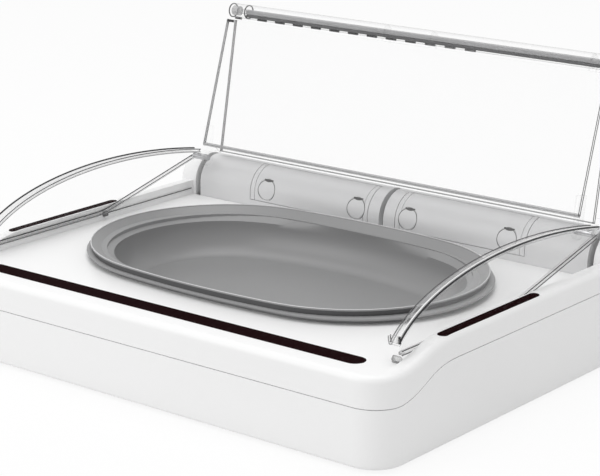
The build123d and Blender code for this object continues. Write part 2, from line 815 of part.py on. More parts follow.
with BuildPart() as lid_front_panel:
    with BuildSketch(Plane.YZ):
        add(front_plate)
    extrude(amount=lid_half, both=True)
    for side in (-1, 1):
        with BuildSketch(Plane.YZ.offset(side * front_barrel_x)):
            add(front_tab)
            with Locations(knuckle):
                Circle(barrel_radius)
        extrude(amount=front_barrel_length / 2, both=True)
        with BuildSketch(Plane.YZ.offset(side * lid_half)):
            add(lug_tab)
            with Locations(guide):
                Circle(lug_radius)
        extrude(amount=-side * lug_thickness)
    with BuildSketch(Plane.YZ):
        with Locations(knuckle):
            Circle(hinge_pin_radius + running)
        with Locations(guide):
            Circle(guide_pin_radius)
    extrude(amount=lid_half + overlap, both=True, mode=Mode.SUBTRACT)
label_and_save(lid_front_panel, "lid_front_panel")

with BuildPart() as lid_hinge_pins:
    with BuildSketch(Plane.YZ.offset(-middle_barrel)):
        with Locations(knuckle):
            Circle(hinge_pin_radius)
    extrude(amount=2 * middle_barrel)
    for side in (-1, 1):
        with BuildSketch(Plane.YZ.offset(side * (lid_half - end_pin_length))):
            with Locations(knuckle):
                Circle(hinge_pin_radius)
        extrude(amount=side * end_pin_length)
label_and_save(lid_hinge_pins, "lid_hinge_pins")

with BuildPart() as guide_pins:
    for side in (-1, 1):
        with BuildSketch(Plane.YZ.offset(side * (lid_half - lug_thickness))):
            with Locations(guide):
                Circle(guide_pin_radius)
        extrude(amount=side * (guard_inner - guide_pin_gap - lid_half + lug_thickness))
label_and_save(guide_pins, "guide_pins")

# Side guards: a clear web on each side with a flange that the guide pins run under
flange_low = guide_pin_radius + path_clearance
flange_high = flange_low + guard_thickness
top_line = guard_line(flange_high)
low_line = guard_line(flange_low)
guard_low = rim_height - guard_below_rim
guard_rear = guide[0] + guard_rear_reach
foot_front = top_line[-1][0]

for side, name in ((-1, "left"), (1, "right")):
    with BuildPart() as side_guard:
        with BuildSketch(Plane.YZ.offset(side * guard_inner)):
            with BuildLine():
                Spline(*top_line)
                Polyline(
                    top_line[-1],
                    (foot_front, deck_height + guard_seat),
                    (foot_front + guard_foot_depth, deck_height + guard_seat),
                    (foot_front + guard_foot_depth, guard_low),
                    (guide[0] - strut_run, guard_low),
                    (guard_rear, guide[1] - guard_rear_drop),
                    (guard_rear, guide[1] + flange_low),
                    top_line[0],
                )
            make_face()
        extrude(amount=side * guard_thickness)
        with BuildSketch(Plane.YZ.offset(side * guard_outer)):
            with BuildLine():
                Spline(*top_line)
                Line(top_line[-1], low_line[-1])
                Spline(*reversed(low_line))
                Line(low_line[0], top_line[0])
            make_face()
        extrude(amount=-side * guard_flange)
        with BuildSketch(Plane.YZ.offset(side * guard_inner)):
            with Locations((clip_y, (guard_low + overlap + clip_z - clip_size / 2) / 2)):
                Rectangle(clip_width, guard_low + overlap - clip_z + clip_size / 2)
        extrude(amount=side * guard_thickness)
        with BuildSketch(Plane.YZ.offset(side * (guard_outer - guard_thickness / 2))):
            with Locations((clip_y, clip_z)):
                Rectangle(clip_size, clip_size)
        extrude(amount=side * (clip_reach + guard_gap + guard_thickness / 2))
    label_and_save(side_guard, f"{name}_guard")


# Drive train: gear motor, pinion, idler and the output gear on the lid's drive shaft
def gear_outline(teeth, first_tooth):
    """Spur gear outline from involute flanks; first_tooth is a tooth's angle in degrees."""
    pitch = gear_module * teeth / 2
    base = pitch * cos(radians(pressure_angle))
    tip = pitch + gear_addendum * gear_module
    root = pitch - gear_dedendum * gear_module
    half_tooth = (pi * gear_module / 4 - gear_backlash) / pitch
    involute_pitch = sqrt((pitch / base) ** 2 - 1) - atan2(sqrt(pitch**2 - base**2), base)
    points = []
    for tooth in range(teeth):
        middle = radians(first_tooth + 360 * tooth / teeth)
        flank = []
        for step in range(4):
            radius = max(base, root) + (tip - max(base, root)) * step / 3
            involute = sqrt(max((radius / base) ** 2 - 1, 0)) - atan2(sqrt(max(radius**2 - base**2, 0)), base)
            flank.append((radius, half_tooth + involute_pitch - involute))
        foot = (root, flank[0][1] + root_widening)
        rising = [foot] + flank if root < base else flank
        points += [(r * cos(middle - a), r * sin(middle - a)) for r, a in rising]
        points += [(r * cos(middle + a), r * sin(middle + a)) for r, a in reversed(rising)]
    return points


gear_start = gear_middle - gear_width / 2
with BuildPart() as output_gear:
    with BuildSketch(Plane.YZ.offset(gear_start)):
        with Locations((tube_y, tube_height)):
            Polygon(*gear_outline(output_teeth, -90), align=None)
            Circle(shaft_radius, mode=Mode.SUBTRACT)
    extrude(amount=gear_width)
label_and_save(output_gear, "output_gear")

with BuildPart() as idler_gear:
    with BuildSketch(Plane.YZ.offset(gear_start)):
        with Locations((tube_y, idler_z)):
            Polygon(*gear_outline(idler_teeth, 90 + 180 / idler_teeth), align=None)
            Circle(motor_shaft_radius + running, mode=Mode.SUBTRACT)
    extrude(amount=gear_width)
label_and_save(idler_gear, "idler_gear")

with BuildPart() as motor_pinion:
    with BuildSketch(Plane.YZ.offset(gear_start)):
        with Locations((tube_y, motor_z)):
            Polygon(*gear_outline(pinion_teeth, 90), align=None)
            Circle(motor_shaft_radius + running, mode=Mode.SUBTRACT)
    extrude(amount=gear_width)
label_and_save(motor_pinion, "motor_pinion")

shaft_end = tower_inner + press_depth - shaft_gap
with BuildPart() as drive_shaft:
    with BuildSketch(Plane.YZ.offset(bay_start - bay_wall + shaft_gap)):
        with Locations((tube_y, tube_height)):
            Circle(shaft_radius)
    extrude(amount=shaft_end - bay_start + bay_wall - shaft_gap)
label_and_save(drive_shaft, "drive_shaft")

with BuildPart() as pivot_pins:
    with BuildSketch(Plane.YZ.offset(-shaft_end)):
        with Locations((tube_y, tube_height)):
            Circle(shaft_radius)
    extrude(amount=shaft_end - tube_half + end_wall)
    with BuildSketch(Plane.YZ.offset(overlap - spine_half)):
        with Locations((tube_y, tube_height)):
            Circle(hinge_pin_radius)
    extrude(amount=2 * (spine_half - overlap))
label_and_save(pivot_pins, "pivot_pins")

bracket_x = gear_start - gear_side_gap - bracket_thickness
bracket_top = idler_z + motor_shaft_radius + bracket_thickness
with BuildPart() as motor_bracket:
    with BuildSketch(Plane.YZ.offset(bracket_x)):
        with Locations((tube_y, (bracket_top + foot_height + floor_thickness) / 2)):
            Rectangle(2 * (motor_radius + bracket_margin), bracket_top - foot_height - floor_thickness)
        with Locations((tube_y, motor_z)):
            Circle(motor_collar, mode=Mode.SUBTRACT)
        with Locations((tube_y, idler_z)):
            Circle(motor_shaft_radius, mode=Mode.SUBTRACT)
    extrude(amount=bracket_thickness)
    with BuildSketch(Plane.XY.offset(foot_height + floor_thickness)):
        with Locations((bracket_x - motor_length / 2, tube_y)):
            Rectangle(motor_length, 2 * (motor_radius + bracket_margin))
    extrude(amount=bracket_thickness)
label_and_save(motor_bracket, "motor_bracket")

with BuildPart() as gear_motor:
    with BuildSketch(Plane.YZ.offset(bracket_x)):
        with Locations((tube_y, motor_z)):
            Circle(motor_radius)
    extrude(amount=-motor_length)
    with BuildSketch(Plane.YZ.offset(bracket_x)):
        with Locations((tube_y, motor_z)):
            Circle(motor_collar)
    extrude(amount=bracket_thickness)
    with BuildSketch(Plane.YZ.offset(bracket_x)):
        with Locations((tube_y, motor_z)):
            Circle(motor_shaft_radius)
    extrude(amount=bracket_thickness + gear_width + 2 * gear_side_gap)
label_and_save(gear_motor, "gear_motor")

with BuildPart() as idler_axle:
    with BuildSketch(Plane.YZ.offset(bracket_x)):
        with Locations((tube_y, idler_z)):
            Circle(motor_shaft_radius)
    extrude(amount=bracket_thickness + gear_width + 2 * gear_side_gap)
label_and_save(idler_axle, "idler_axle")

# Sensor windows in the deck and rims, with a board and emitters under each
emitter_points = {
    "front": [(x * front_window_length / 4, front_window_y) for x in (-1, 0, 1)],
    "left": [(-side_window_x, side_window_y + y * side_window_length / 4) for y in (-1, 1)],
    "right": [(side_window_x, side_window_y + y * side_window_length / 4) for y in (-1, 1)],
}
board_z = deck_under - board_drop - board_thickness

for name, x, y, length, turn, top in (
    ("front", 0, front_window_y, front_window_length, 0, deck_height),
    ("left", -side_window_x, side_window_y, side_window_length, 90, rim_height),
    ("right", side_window_x, side_window_y, side_window_length, 90, rim_height),
):
    with BuildPart() as sensor_window:
        with BuildSketch(Plane.XY.offset(top - window_thickness)):
            with Locations((x, y)):
                SlotOverall(length, window_width, turn)
        extrude(amount=window_thickness)
    label_and_save(sensor_window, f"{name}_sensor_window")
    board_x = x if name == "front" else (side_board_x if x > 0 else -side_board_x)
    board_length = front_board_length if name == "front" else side_board_length
    with BuildPart() as sensor_board:
        with BuildSketch(Plane.XY.offset(board_z)):
            with Locations((board_x, y)):
                Rectangle(board_length, sensor_board_width, turn)
        extrude(amount=board_thickness)
    label_and_save(sensor_board, f"{name}_sensor_board")

with BuildPart() as sensor_emitters:
    for name, top in (("front", deck_height), ("left", rim_height), ("right", rim_height)):
        with BuildSketch(Plane.XY.offset(board_z + board_thickness)):
            with Locations(*emitter_points[name]):
                Circle(emitter_radius)
        extrude(amount=top - window_thickness - emitter_gap - board_z - board_thickness)
label_and_save(sensor_emitters, "sensor_emitters")

# Main board on its standoffs, button board under the rear strip, and the two buttons
with BuildPart() as main_board:
    with BuildSketch(Plane.XY.offset(main_board_height)):
        with Locations((main_board_x, tube_y)):
            Rectangle(main_board_width, main_board_depth)
    extrude(amount=board_thickness)
    with BuildSketch(Plane.XY.offset(main_board_height + board_thickness)):
        with Locations((main_board_x, tube_y)):
            Rectangle(chip_size, chip_size)
        with Locations((main_board_x - main_board_width / 4, tube_y)):
            Rectangle(plug_width, plug_depth)
    extrude(amount=board_part_height)
label_and_save(main_board, "main_board")

button_bottom = rim_height - button_depth
with BuildPart() as button_board:
    with BuildSketch(Plane.XY.offset(button_board_height)):
        with Locations((0, button_y)):
            Rectangle(button_board_width, button_board_depth)
    extrude(amount=board_thickness)
    with BuildSketch(Plane.XY.offset(button_board_height + board_thickness)):
        with Locations(*button_points):
            Circle(switch_radius)
    extrude(amount=button_bottom - button_travel - button_clearance - button_board_height - board_thickness)
label_and_save(button_board, "button_board")

for (x, y), name in zip(button_points, ("mode_button", "open_button")):
    with BuildPart() as button:
        with BuildSketch(Plane.XY.offset(button_bottom)):
            with Locations((x, y)):
                Circle(button_radius)
        extrude(amount=button_depth + button_proud)
        fillet(button.edges().filter_by(GeomType.CIRCLE).group_by(Axis.Z)[-1], edge_round)
    label_and_save(button, name)

# Bowl: a flange that slopes down to the basin, standing on a soft mat round its opening
with BuildPart() as bowl:
    with BuildSketch(Plane.XY.offset(mat_top)):
        add(bowl_outline(rim_undercut))
    with BuildSketch(Plane.XY.offset(bowl_rim_height - rim_edge)):
        add(bowl_outline(0))
    loft()
    with BuildSketch(Plane.XY.offset(bowl_rim_height - rim_edge)):
        add(bowl_outline(0))
    extrude(amount=rim_edge)
    fillet(bowl.edges().group_by(Axis.Z)[-1], bowl_rim_lip / 2)
    with BuildSketch(Plane.XY.offset(flange_inner)):
        add(bowl_outline(body_inset))
    with BuildSketch(Plane.XY.offset(bowl_floor_height - bowl_wall)):
        add(basin_outline(-bowl_wall))
    loft()
    with BuildSketch(Plane.XY.offset(bowl_rim_height)):
        add(bowl_outline(bowl_rim_lip))
    with BuildSketch(Plane.XY.offset(flange_inner)):
        add(bowl_outline(flange_width))
    loft(mode=Mode.SUBTRACT)
    with BuildSketch(Plane.XY.offset(flange_inner)):
        add(bowl_outline(flange_width))
    with BuildSketch(Plane.XY.offset(bowl_floor_height)):
        add(basin_outline(0))
    loft(mode=Mode.SUBTRACT)
    level = bowl.faces().filter_by(Plane.XY)
    fillet(level.filter_by(lambda face: abs(face.center().Z - bowl_floor_height) < skin).edges(), basin_round)
label_and_save(bowl, "bowl")

with BuildPart() as bowl_mat:
    with BuildSketch(Plane.XY.offset(deck_height)):
        add(bowl_outline(rim_undercut - mat_margin))
        add(bowl_outline(seat_inset), mode=Mode.SUBTRACT)
    extrude(amount=mat_thickness)
label_and_save(bowl_mat, "bowl_mat")
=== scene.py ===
import json
from math import cos, pi, radians, sin

import bpy
import numpy as np
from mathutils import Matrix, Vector


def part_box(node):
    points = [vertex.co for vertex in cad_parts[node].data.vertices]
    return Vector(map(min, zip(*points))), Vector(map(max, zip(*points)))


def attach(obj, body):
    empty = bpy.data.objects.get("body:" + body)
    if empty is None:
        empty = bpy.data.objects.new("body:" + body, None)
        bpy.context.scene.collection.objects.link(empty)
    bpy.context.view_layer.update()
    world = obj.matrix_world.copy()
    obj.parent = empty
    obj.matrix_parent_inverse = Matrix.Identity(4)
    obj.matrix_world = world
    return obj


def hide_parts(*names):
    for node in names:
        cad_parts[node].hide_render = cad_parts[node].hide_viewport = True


# Motion sensor pet bowl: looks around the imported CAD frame, in metres.
# The bowl, mat, front window and guards are surfaces worked out here, and the lid and the catches get trim.
# Every other piece keeps its CAD shape and gets a finish.

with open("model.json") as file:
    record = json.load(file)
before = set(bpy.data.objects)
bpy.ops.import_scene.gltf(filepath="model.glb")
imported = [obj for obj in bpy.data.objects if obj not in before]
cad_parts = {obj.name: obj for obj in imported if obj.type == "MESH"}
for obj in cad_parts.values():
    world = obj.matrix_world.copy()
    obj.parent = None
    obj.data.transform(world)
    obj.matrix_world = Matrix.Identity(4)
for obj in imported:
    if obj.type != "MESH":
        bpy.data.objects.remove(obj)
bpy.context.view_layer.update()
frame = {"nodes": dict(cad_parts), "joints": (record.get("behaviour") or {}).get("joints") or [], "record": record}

mm = 0.001

# Camera: a long lens that looks down on the front right corner
camera_place = (0.741, -0.9172, 0.4015)
camera_turn = (74.104, 0.0, 38.8)
camera_lens = 128.52
sensor_width = 36.0

# Skins of the plastics
drift_scale = 14.0
drift_detail = 3.0
grain_detail = 2.0
shine_drift = 0.08
bump_distance = 0.1 * mm
haze_scale = 25.0
veil_start = 0.25
clear_roughness = (0.03, 0.09)
edge_tint = 1.03

# Edges whose faces meet at more than these angles look sharp
crisp_angle = 38
mat_crisp_angle = 50

# Guards: flange and the way it turns down to the deck
pin_clearance = 2.6 * mm
flange_thickness = 1.8 * mm
guard_flange_width = 5.6 * mm
flange_round = 0.45
flange_tail = 1.5 * mm
flange_foot = 65.0 * mm
foot_bow = 1.2 * mm
foot_bend = 1.5
foot_steps = 8

# Guards: web, strut and foot, each section as width, height and corner radius
web_thickness = 0.7 * flange_thickness
web_low = 55.6 * mm
web_steps = 6
strut_size = (2.6 * mm, 2.2 * mm, 0.9 * mm)
strut_foot_y = -3.1 * mm
strut_drop = 1.2 * mm
strut_start = 2.0 * mm
strut_bend_front = 3.0 * mm
strut_bend_back = 4.0 * mm
strut_bend_rise = 0.6 * mm
strut_shares = (0, 0.45, 0.5, 1.0)
strut_steps = 40
foot_size = (5.5 * mm, 3.0 * mm, 0.8 * mm)
foot_inset = 2.8 * mm
foot_lean = (0.5 * mm, 1.0 * mm, 1.6 * mm)
foot_top_drop = 2.6 * mm
foot_knee_rise = 2.0 * mm
foot_low = 50.6 * mm

# Guards: clip and the fine lines along the edges, one of them a painted highlight
clip_size = (3.4 * mm, 3.0 * mm, 0.6 * mm)
clip_half_length = 1.6 * mm
clip_stand = 2.2 * mm
clip_out = 0.2 * mm
clip_height = 54.4 * mm
line_radius = 0.3 * mm
line_sides = 8
outer_line_radius = 0.5 * mm
# white line on the right guard's flange: a painted highlight
guard_highlight_radius = 0.6 * mm
guard_highlight_in = 1.3 * mm
wall_line_height = 54.6 * mm
wall_line_gap = 2.0 * mm

# Lid: places of its plates, which keep their CAD shape
plate_thickness = 2.5 * mm
barrel_radius = 4.6 * mm
edge_inset = 0.4 * mm
front_reach = 87.5 * mm
rear_foot_radius = 19.05 * mm
rear_foot_angle = 84.0
plate_start = 6.4 * mm

# Lid: strips and lines along the plates' edges
strip_thickness = 0.5 * mm
strip_corner = 0.2 * mm
strip_share = 0.8
strip_steps = 5
corner_line_share = 0.8
low_line_round = 0.9
band_share = 0.9
band_height = 2.2 * mm
band_corner = 0.4 * mm
band_rise = 0.4 * mm

# Lid: bar and ribs in the top hinge, rings and stops at its ends
bar_start = 13.5 * mm
bar_forward = 2.2 * mm
bar_radius = 1.1 * mm
bar_rows = 3
high_bar_height = 2.9 * mm
high_bar_corner = 0.5 * mm
high_bar_rise = 0.45 * mm
low_bar_height = 1.8 * mm
low_bar_corner = 0.4 * mm
bar_drop = 2.05 * mm
rib_size = (0.8 * mm, 1.2 * mm, 0.2 * mm)
rib_pitch = 14.4 * mm
rib_width = 7.4 * mm
rib_count = 12
rib_start = 0.6
rib_drop = 1.6 * mm
dark_ribs = 9
ring_radius = 0.4 * mm
core_radius = 3.0 * mm
core_sides = 20
core_start = 1.2 * mm
core_end = 6.0 * mm
stop_size = (2.2 * mm, 1.5 * mm, 0.3 * mm)
stop_width = 4.4 * mm
front_stop_drop = 0.9 * mm
rear_stop_rise = 1.6 * mm

# Catches: thumb notches over them and a fine seam round each
notch_width = 7.2 * mm
notch_angle = 38.5
notch_turn = 6.2
notch_fall = 0.55
notch_stand = 0.06 * mm
notch_sink = 0.6 * mm
notch_columns = 15
notch_rows = 6
catch_seam_gap = 0.15 * mm
catch_seam_stand = 0.02 * mm
catch_seam_radius = 0.17 * mm
catch_seam_steps = 48
catch_seam_sides = 6

# Front window
window_share = 2.1
window_back = 0.4 * mm
window_sink = 0.5 * mm
window_shoulder = 0.05 * mm
window_rise = 0.12 * mm
window_edge = 0.07 * mm
window_steps = 13

# Bowl: rim and flange
oval_steps = 26
bowl_end_bulge = 2.6 * mm
rim_lift = 1.5 * mm
rim_back = -0.3 * mm
rim_grow = 0.9 * mm
rim_trim = 1.2 * mm
rim_round = 0.55 * mm
rim_side = 0.5 * mm
rim_steps = 9
flange_drop = 4.1 * mm
flange_in_x = 6.0 * mm
flange_in_y = 10.6 * mm
flange_steps = 7
seam_width = 0.6 * mm
seam_depth = 0.9 * mm

# Bowl: basin, which passes through the casing's opening
bowl_floor_height = 32.0 * mm
bowl_wall = 1.6 * mm
wall_steps = 18
wall_in_power = 1.1
wall_down_power = 0.85
wall_side_share = 0.6
seat_width = 11.7 * mm
seat_bulge = 7.5 * mm
seat_depth = 2.8 * mm
basin_in_x = 13.0 * mm
basin_in_y = 14.0 * mm

# Bowl: skirt under the rim, a dark band of painted shade on its underside and a pale line of painted highlight
# along its crest
skirt_gap = 0.4 * mm
skirt_sink = 1.2 * mm
skirt_in = 2.6 * mm
skirt_out = 1.1 * mm
skirt_side = 0.15 * mm
crest_highlight_place = 0.7
crest_highlight_drop = 0.12 * mm
crest_highlight_radius = 0.28 * mm
shade_high_out = 0.06 * mm
shade_high_in = 0.7 * mm
shade_low_out = 1.0 * mm
shade_low_in = 1.6 * mm
shade_rise = 0.1 * mm

# Mat under the rim
mat_drop = 3.8 * mm
mat_height = 2.6 * mm
mat_inner = 9.6 * mm
mat_foot_x = 2.2 * mm
mat_foot_y = 4.4 * mm
mat_foot_lean = 0.2 * mm
mat_beyond = 3.2 * mm
bead_in_x = 0.9 * mm
bead_in_y = 2.6 * mm
bead_out_y = 2.4 * mm
bead_power = 0.7
bead_steps = 9

# Studio
surround_light = 0.7
floor_tone = 0.86
floor_glow = 0.88
floor_reach = 3.0
lamp_target = (0.0, 0.0, 0.05)

# Places read from the frame
joints = {joint["name"]: joint for joint in frame["joints"]}
hinge_y, hinge_z = joints["lid_open"]["pos_m"][1:]
knuckle_y, knuckle_z = joints["lid_fold"]["pos_m"][1:]
lid_turn = -radians(joints["lid_open"]["range_deg"][0])
fold_ratio = -frame["record"]["behaviour"]["couplings"][0]["ratio"]
pin_low, pin_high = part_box("guide_pins")
pin_y = (pin_low.y + pin_high.y) / 2
pin_z = (pin_low.z + pin_high.z) / 2
tube_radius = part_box("hinge_tube")[1].z - hinge_z


# Mesh tools: every piece is a grid of points worked out as whole arrays

def grid_piece(name, points, material, closed_u=False, closed_v=False, caps=(False, False), smooth=True):
    """A surface through a grid of points (u rows by v columns); closed_u and closed_v join its ends,
    and caps close the first and last row with one face each."""
    rows, columns = points.shape[:2]
    index = np.arange(rows * columns).reshape(rows, columns)
    u_next = np.roll(index, -1, axis=0)
    v_next = np.roll(index, -1, axis=1)
    corner = np.roll(u_next, -1, axis=1)
    quads = np.stack([index, u_next, corner, v_next], axis=-1)
    if not closed_u:
        quads = quads[:-1]
    if not closed_v:
        quads = quads[:, :-1]
    faces = quads.reshape(-1, 4).tolist()
    if caps[0]:
        faces.append(index[0].tolist())
    if caps[1]:
        faces.append(index[-1][::-1].tolist())
    mesh = bpy.data.meshes.new(name)
    mesh.from_pydata(points.reshape(-1, 3), [], faces)
    mesh.polygons.foreach_set("use_smooth", np.full(len(faces), smooth))
    mesh.materials.append(material)
    piece = bpy.data.objects.new(name, mesh)
    bpy.context.scene.collection.objects.link(piece)
    outward(piece)
    return piece


def outward(piece):
    """Turns all faces outwards when the closed mesh's signed volume is negative."""
    mesh = piece.data
    mesh.calc_loop_triangles()
    corners = np.empty(len(mesh.loop_triangles) * 3, np.int32)
    mesh.loop_triangles.foreach_get("vertices", corners)
    place = np.empty(len(mesh.vertices) * 3)
    mesh.vertices.foreach_get("co", place)
    a, b, c = np.moveaxis(place.reshape(-1, 3)[corners.reshape(-1, 3)], 1, 0)
    if np.einsum("ij,ij->i", a, np.cross(b, c)).sum() < 0:
        mesh.flip_normals()
    mesh.update()


def crisp_edges(piece, angle):
    """Marks each edge whose faces meet at more than the angle (degrees) as sharp."""
    piece.data.set_sharp_from_angle(angle=radians(angle))


def finished(piece, body, slot_name, *nodes):
    """Puts a piece on its body and hides the CAD nodes that it stands for; the slot name it is given is not used.
    """
    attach(piece, body)
    if nodes:
        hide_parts(*nodes)
    return piece


def rounded_box_section(width, height, corner, steps=4):
    """Points round a rectangle with rounded corners, centred on 0: corner centres plus an arc at each."""
    angles = np.concatenate([np.linspace(0, pi / 2, steps + 1) + quarter * pi / 2 for quarter in range(4)])
    signs = np.repeat(np.array([[1, 1], [-1, 1], [-1, -1], [1, -1]]), steps + 1, axis=0)
    middle = signs * np.array([width / 2 - corner, height / 2 - corner])
    return middle + corner * np.stack([np.cos(angles), np.sin(angles)], axis=-1)


def unit_tangent(path):
    """The unit direction of a path at each of its points."""
    tangent = np.gradient(path, axis=0)
    return tangent / np.linalg.norm(tangent, axis=1, keepdims=True)


def along_path(name, path, section, material):
    """A section carried along a path in a YZ plane: section x runs along X, section y along the path's normal."""
    across = np.array([1.0, 0.0, 0.0])
    normal = np.cross(unit_tangent(path), across)
    points = path[:, None] + section[None, :, :1] * across + section[None, :, 1:] * normal[:, None]
    return grid_piece(name, points, material, closed_v=True, caps=(True, True))


def tube_between(name, path, radius, material):
    """A round bar along a path in a YZ plane: a circle of even radius carried along it, its ends closed flat."""
    angle = np.linspace(0, 2 * pi, line_sides, endpoint=False)
    return along_path(name, path, radius * np.stack([-np.sin(angle), np.cos(angle)], -1), material)


def tube_around(name, loop, face, radius, material, sides=8):
    """A thin tube along a closed loop that lies on a surface: at each point a small circle in the plane of the
    surface's unit normal and the unit direction sideways to the loop, which is their cross product."""
    sideways = np.cross(np.roll(loop, -1, axis=0) - np.roll(loop, 1, axis=0), face)
    sideways /= np.linalg.norm(sideways, axis=1)[:, None]
    roll = np.linspace(0, 2 * pi, sides, endpoint=False)[None, :, None]
    points = loop[:, None] + radius * (sideways[:, None] * np.cos(roll) + face[:, None] * np.sin(roll))
    return grid_piece(name, points, material, closed_u=True, closed_v=True)


# Materials

def new_material(name):
    """A material with an empty node tree, its Principled shader and its output."""
    material = bpy.data.materials.new(name)
    material.use_nodes = True
    nodes = material.node_tree.nodes
    nodes.clear()
    out = nodes.new("ShaderNodeOutputMaterial")
    shader = nodes.new("ShaderNodeBsdfPrincipled")
    material.node_tree.links.new(shader.outputs[0], out.inputs[0])
    return material, nodes, material.node_tree.links, shader


def moulded_group():
    """Moulded plastic: a slow tone drift, a fine grain height and a roughness that drifts with them."""
    group = bpy.data.node_groups.new("moulded_skin", "ShaderNodeTree")
    sockets = {"INPUT": (("Tone", "NodeSocketColor"), ("Drift", "NodeSocketFloat"),
                         ("Grain Size", "NodeSocketFloat"), ("Shine", "NodeSocketFloat")),
               "OUTPUT": (("Colour", "NodeSocketColor"), ("Roughness", "NodeSocketFloat"),
                          ("Height", "NodeSocketFloat"))}
    for way, rows in sockets.items():
        for name, kind in rows:
            group.interface.new_socket(name, in_out=way, socket_type=kind)
    nodes, links = group.nodes, group.links
    given = nodes.new("NodeGroupInput")
    result = nodes.new("NodeGroupOutput")
    place = nodes.new("ShaderNodeTexCoord")
    slow = nodes.new("ShaderNodeTexNoise")
    slow.inputs["Scale"].default_value = drift_scale
    slow.inputs["Detail"].default_value = drift_detail
    fine = nodes.new("ShaderNodeTexNoise")
    fine.inputs["Detail"].default_value = grain_detail
    links.new(place.outputs["Object"], slow.inputs["Vector"])
    links.new(place.outputs["Object"], fine.inputs["Vector"])
    links.new(given.outputs["Grain Size"], fine.inputs["Scale"])
    centred = nodes.new("ShaderNodeMath")
    centred.operation = "SUBTRACT"
    centred.inputs[1].default_value = 0.5
    links.new(slow.outputs["Fac"], centred.inputs[0])
    scaled = nodes.new("ShaderNodeMath")
    scaled.operation = "MULTIPLY"
    links.new(centred.outputs[0], scaled.inputs[0])
    links.new(given.outputs["Drift"], scaled.inputs[1])
    level = nodes.new("ShaderNodeMath")
    level.operation = "ADD"
    level.inputs[1].default_value = 1.0
    links.new(scaled.outputs[0], level.inputs[0])
    tinted = nodes.new("ShaderNodeVectorMath")
    tinted.operation = "SCALE"
    links.new(given.outputs["Tone"], tinted.inputs[0])
    links.new(level.outputs[0], tinted.inputs["Scale"])
    links.new(tinted.outputs[0], result.inputs["Colour"])
    shine = nodes.new("ShaderNodeMath")
    shine.operation = "MULTIPLY_ADD"
    shine.inputs[1].default_value = shine_drift
    links.new(fine.outputs["Fac"], shine.inputs[0])
    links.new(given.outputs["Shine"], shine.inputs[2])
    links.new(shine.outputs[0], result.inputs["Roughness"])
    links.new(fine.outputs["Fac"], result.inputs["Height"])
    return group


moulded_skin = moulded_group()


def moulded(name, tone, shine, drift=0.02, grain=900.0, relief=0.02, metal=0.0, gloss=0.5, cover=1.0):
    """A moulded or drawn finish from the shared skin group."""
    material, nodes, links, shader = new_material(name)
    skin = nodes.new("ShaderNodeGroup")
    skin.node_tree = moulded_skin
    skin.inputs["Tone"].default_value = (*tone, 1.0)
    skin.inputs["Drift"].default_value = drift
    skin.inputs["Grain Size"].default_value = grain
    skin.inputs["Shine"].default_value = shine
    bump = nodes.new("ShaderNodeBump")
    bump.inputs["Strength"].default_value = relief
    bump.inputs["Distance"].default_value = bump_distance
    links.new(skin.outputs["Height"], bump.inputs["Height"])
    links.new(skin.outputs["Colour"], shader.inputs["Base Color"])
    links.new(skin.outputs["Roughness"], shader.inputs["Roughness"])
    links.new(bump.outputs["Normal"], shader.inputs["Normal"])
    shader.inputs["Metallic"].default_value = metal
    shader.inputs["Specular IOR Level"].default_value = gloss
    shader.inputs["Alpha"].default_value = cover
    return material


def clear(name, face_veil, edge_veil, edge_tone, face_tone=0.9, spread=0.35):
    """Clear plastic: nearly see-through face on, darker and denser where the surface turns away."""
    material, nodes, links, shader = new_material(name)
    turned = nodes.new("ShaderNodeLayerWeight")
    turned.inputs["Blend"].default_value = spread
    place = nodes.new("ShaderNodeTexCoord")
    haze = nodes.new("ShaderNodeTexNoise")
    haze.inputs["Scale"].default_value = haze_scale
    links.new(place.outputs["Object"], haze.inputs["Vector"])
    tone = nodes.new("ShaderNodeMix")
    tone.data_type = "RGBA"
    tone.inputs["A"].default_value = (face_tone, face_tone, face_tone, 1.0)
    tone.inputs["B"].default_value = (edge_tone, edge_tone, edge_tone * edge_tint, 1.0)
    links.new(turned.outputs["Facing"], tone.inputs["Factor"])
    veil = nodes.new("ShaderNodeMapRange")
    veil.inputs["From Min"].default_value = veil_start
    veil.inputs["From Max"].default_value = 1.0
    veil.inputs["To Min"].default_value = face_veil
    veil.inputs["To Max"].default_value = edge_veil
    links.new(turned.outputs["Facing"], veil.inputs["Value"])
    rough = nodes.new("ShaderNodeMapRange")
    rough.inputs["To Min"].default_value, rough.inputs["To Max"].default_value = clear_roughness
    links.new(haze.outputs["Fac"], rough.inputs["Value"])
    links.new(tone.outputs["Result"], shader.inputs["Base Color"])
    links.new(veil.outputs["Result"], shader.inputs["Alpha"])
    links.new(rough.outputs["Result"], shader.inputs["Roughness"])
    return material


white_casing = moulded("white_casing", (0.87, 0.87, 0.87), 0.34, drift=0.008, relief=0.012)
bowl_grey = moulded("bowl_grey", (0.25, 0.25, 0.252), 0.3, drift=0.03, relief=0.03)
mat_grey = moulded("mat_grey", (0.28, 0.28, 0.283), 0.55, drift=0.04, grain=1400.0, relief=0.06)
dark_lens = moulded("dark_lens", (0.008, 0.0012, 0.0018), 0.6, drift=0.1, relief=0.0, gloss=0.01)
black_foot = moulded("black_foot", (0.03, 0.03, 0.03), 0.6, drift=0.08, relief=0.1)
bright_steel = moulded("bright_steel", (0.55, 0.55, 0.56), 0.25, drift=0.05, relief=0.05, metal=1.0)
gear_nylon = moulded("gear_nylon", (0.72, 0.7, 0.62), 0.42, drift=0.03)
board_green = moulded("board_green", (0.03, 0.14, 0.05), 0.4, drift=0.15, grain=500.0)
emitter_tint = moulded("emitter_tint", (0.08, 0.05, 0.1), 0.15, drift=0.05)
cell_wrap = moulded("cell_wrap", (0.2, 0.21, 0.22), 0.25, drift=0.05)
button_grey = moulded("button_grey", (0.32, 0.32, 0.325), 0.4, drift=0.02)
notch_dark = moulded("notch_dark", (0.12, 0.12, 0.12), 0.5, drift=0.05)
clear_sheet = clear("clear_sheet", 0.015, 0.6, 0.3)
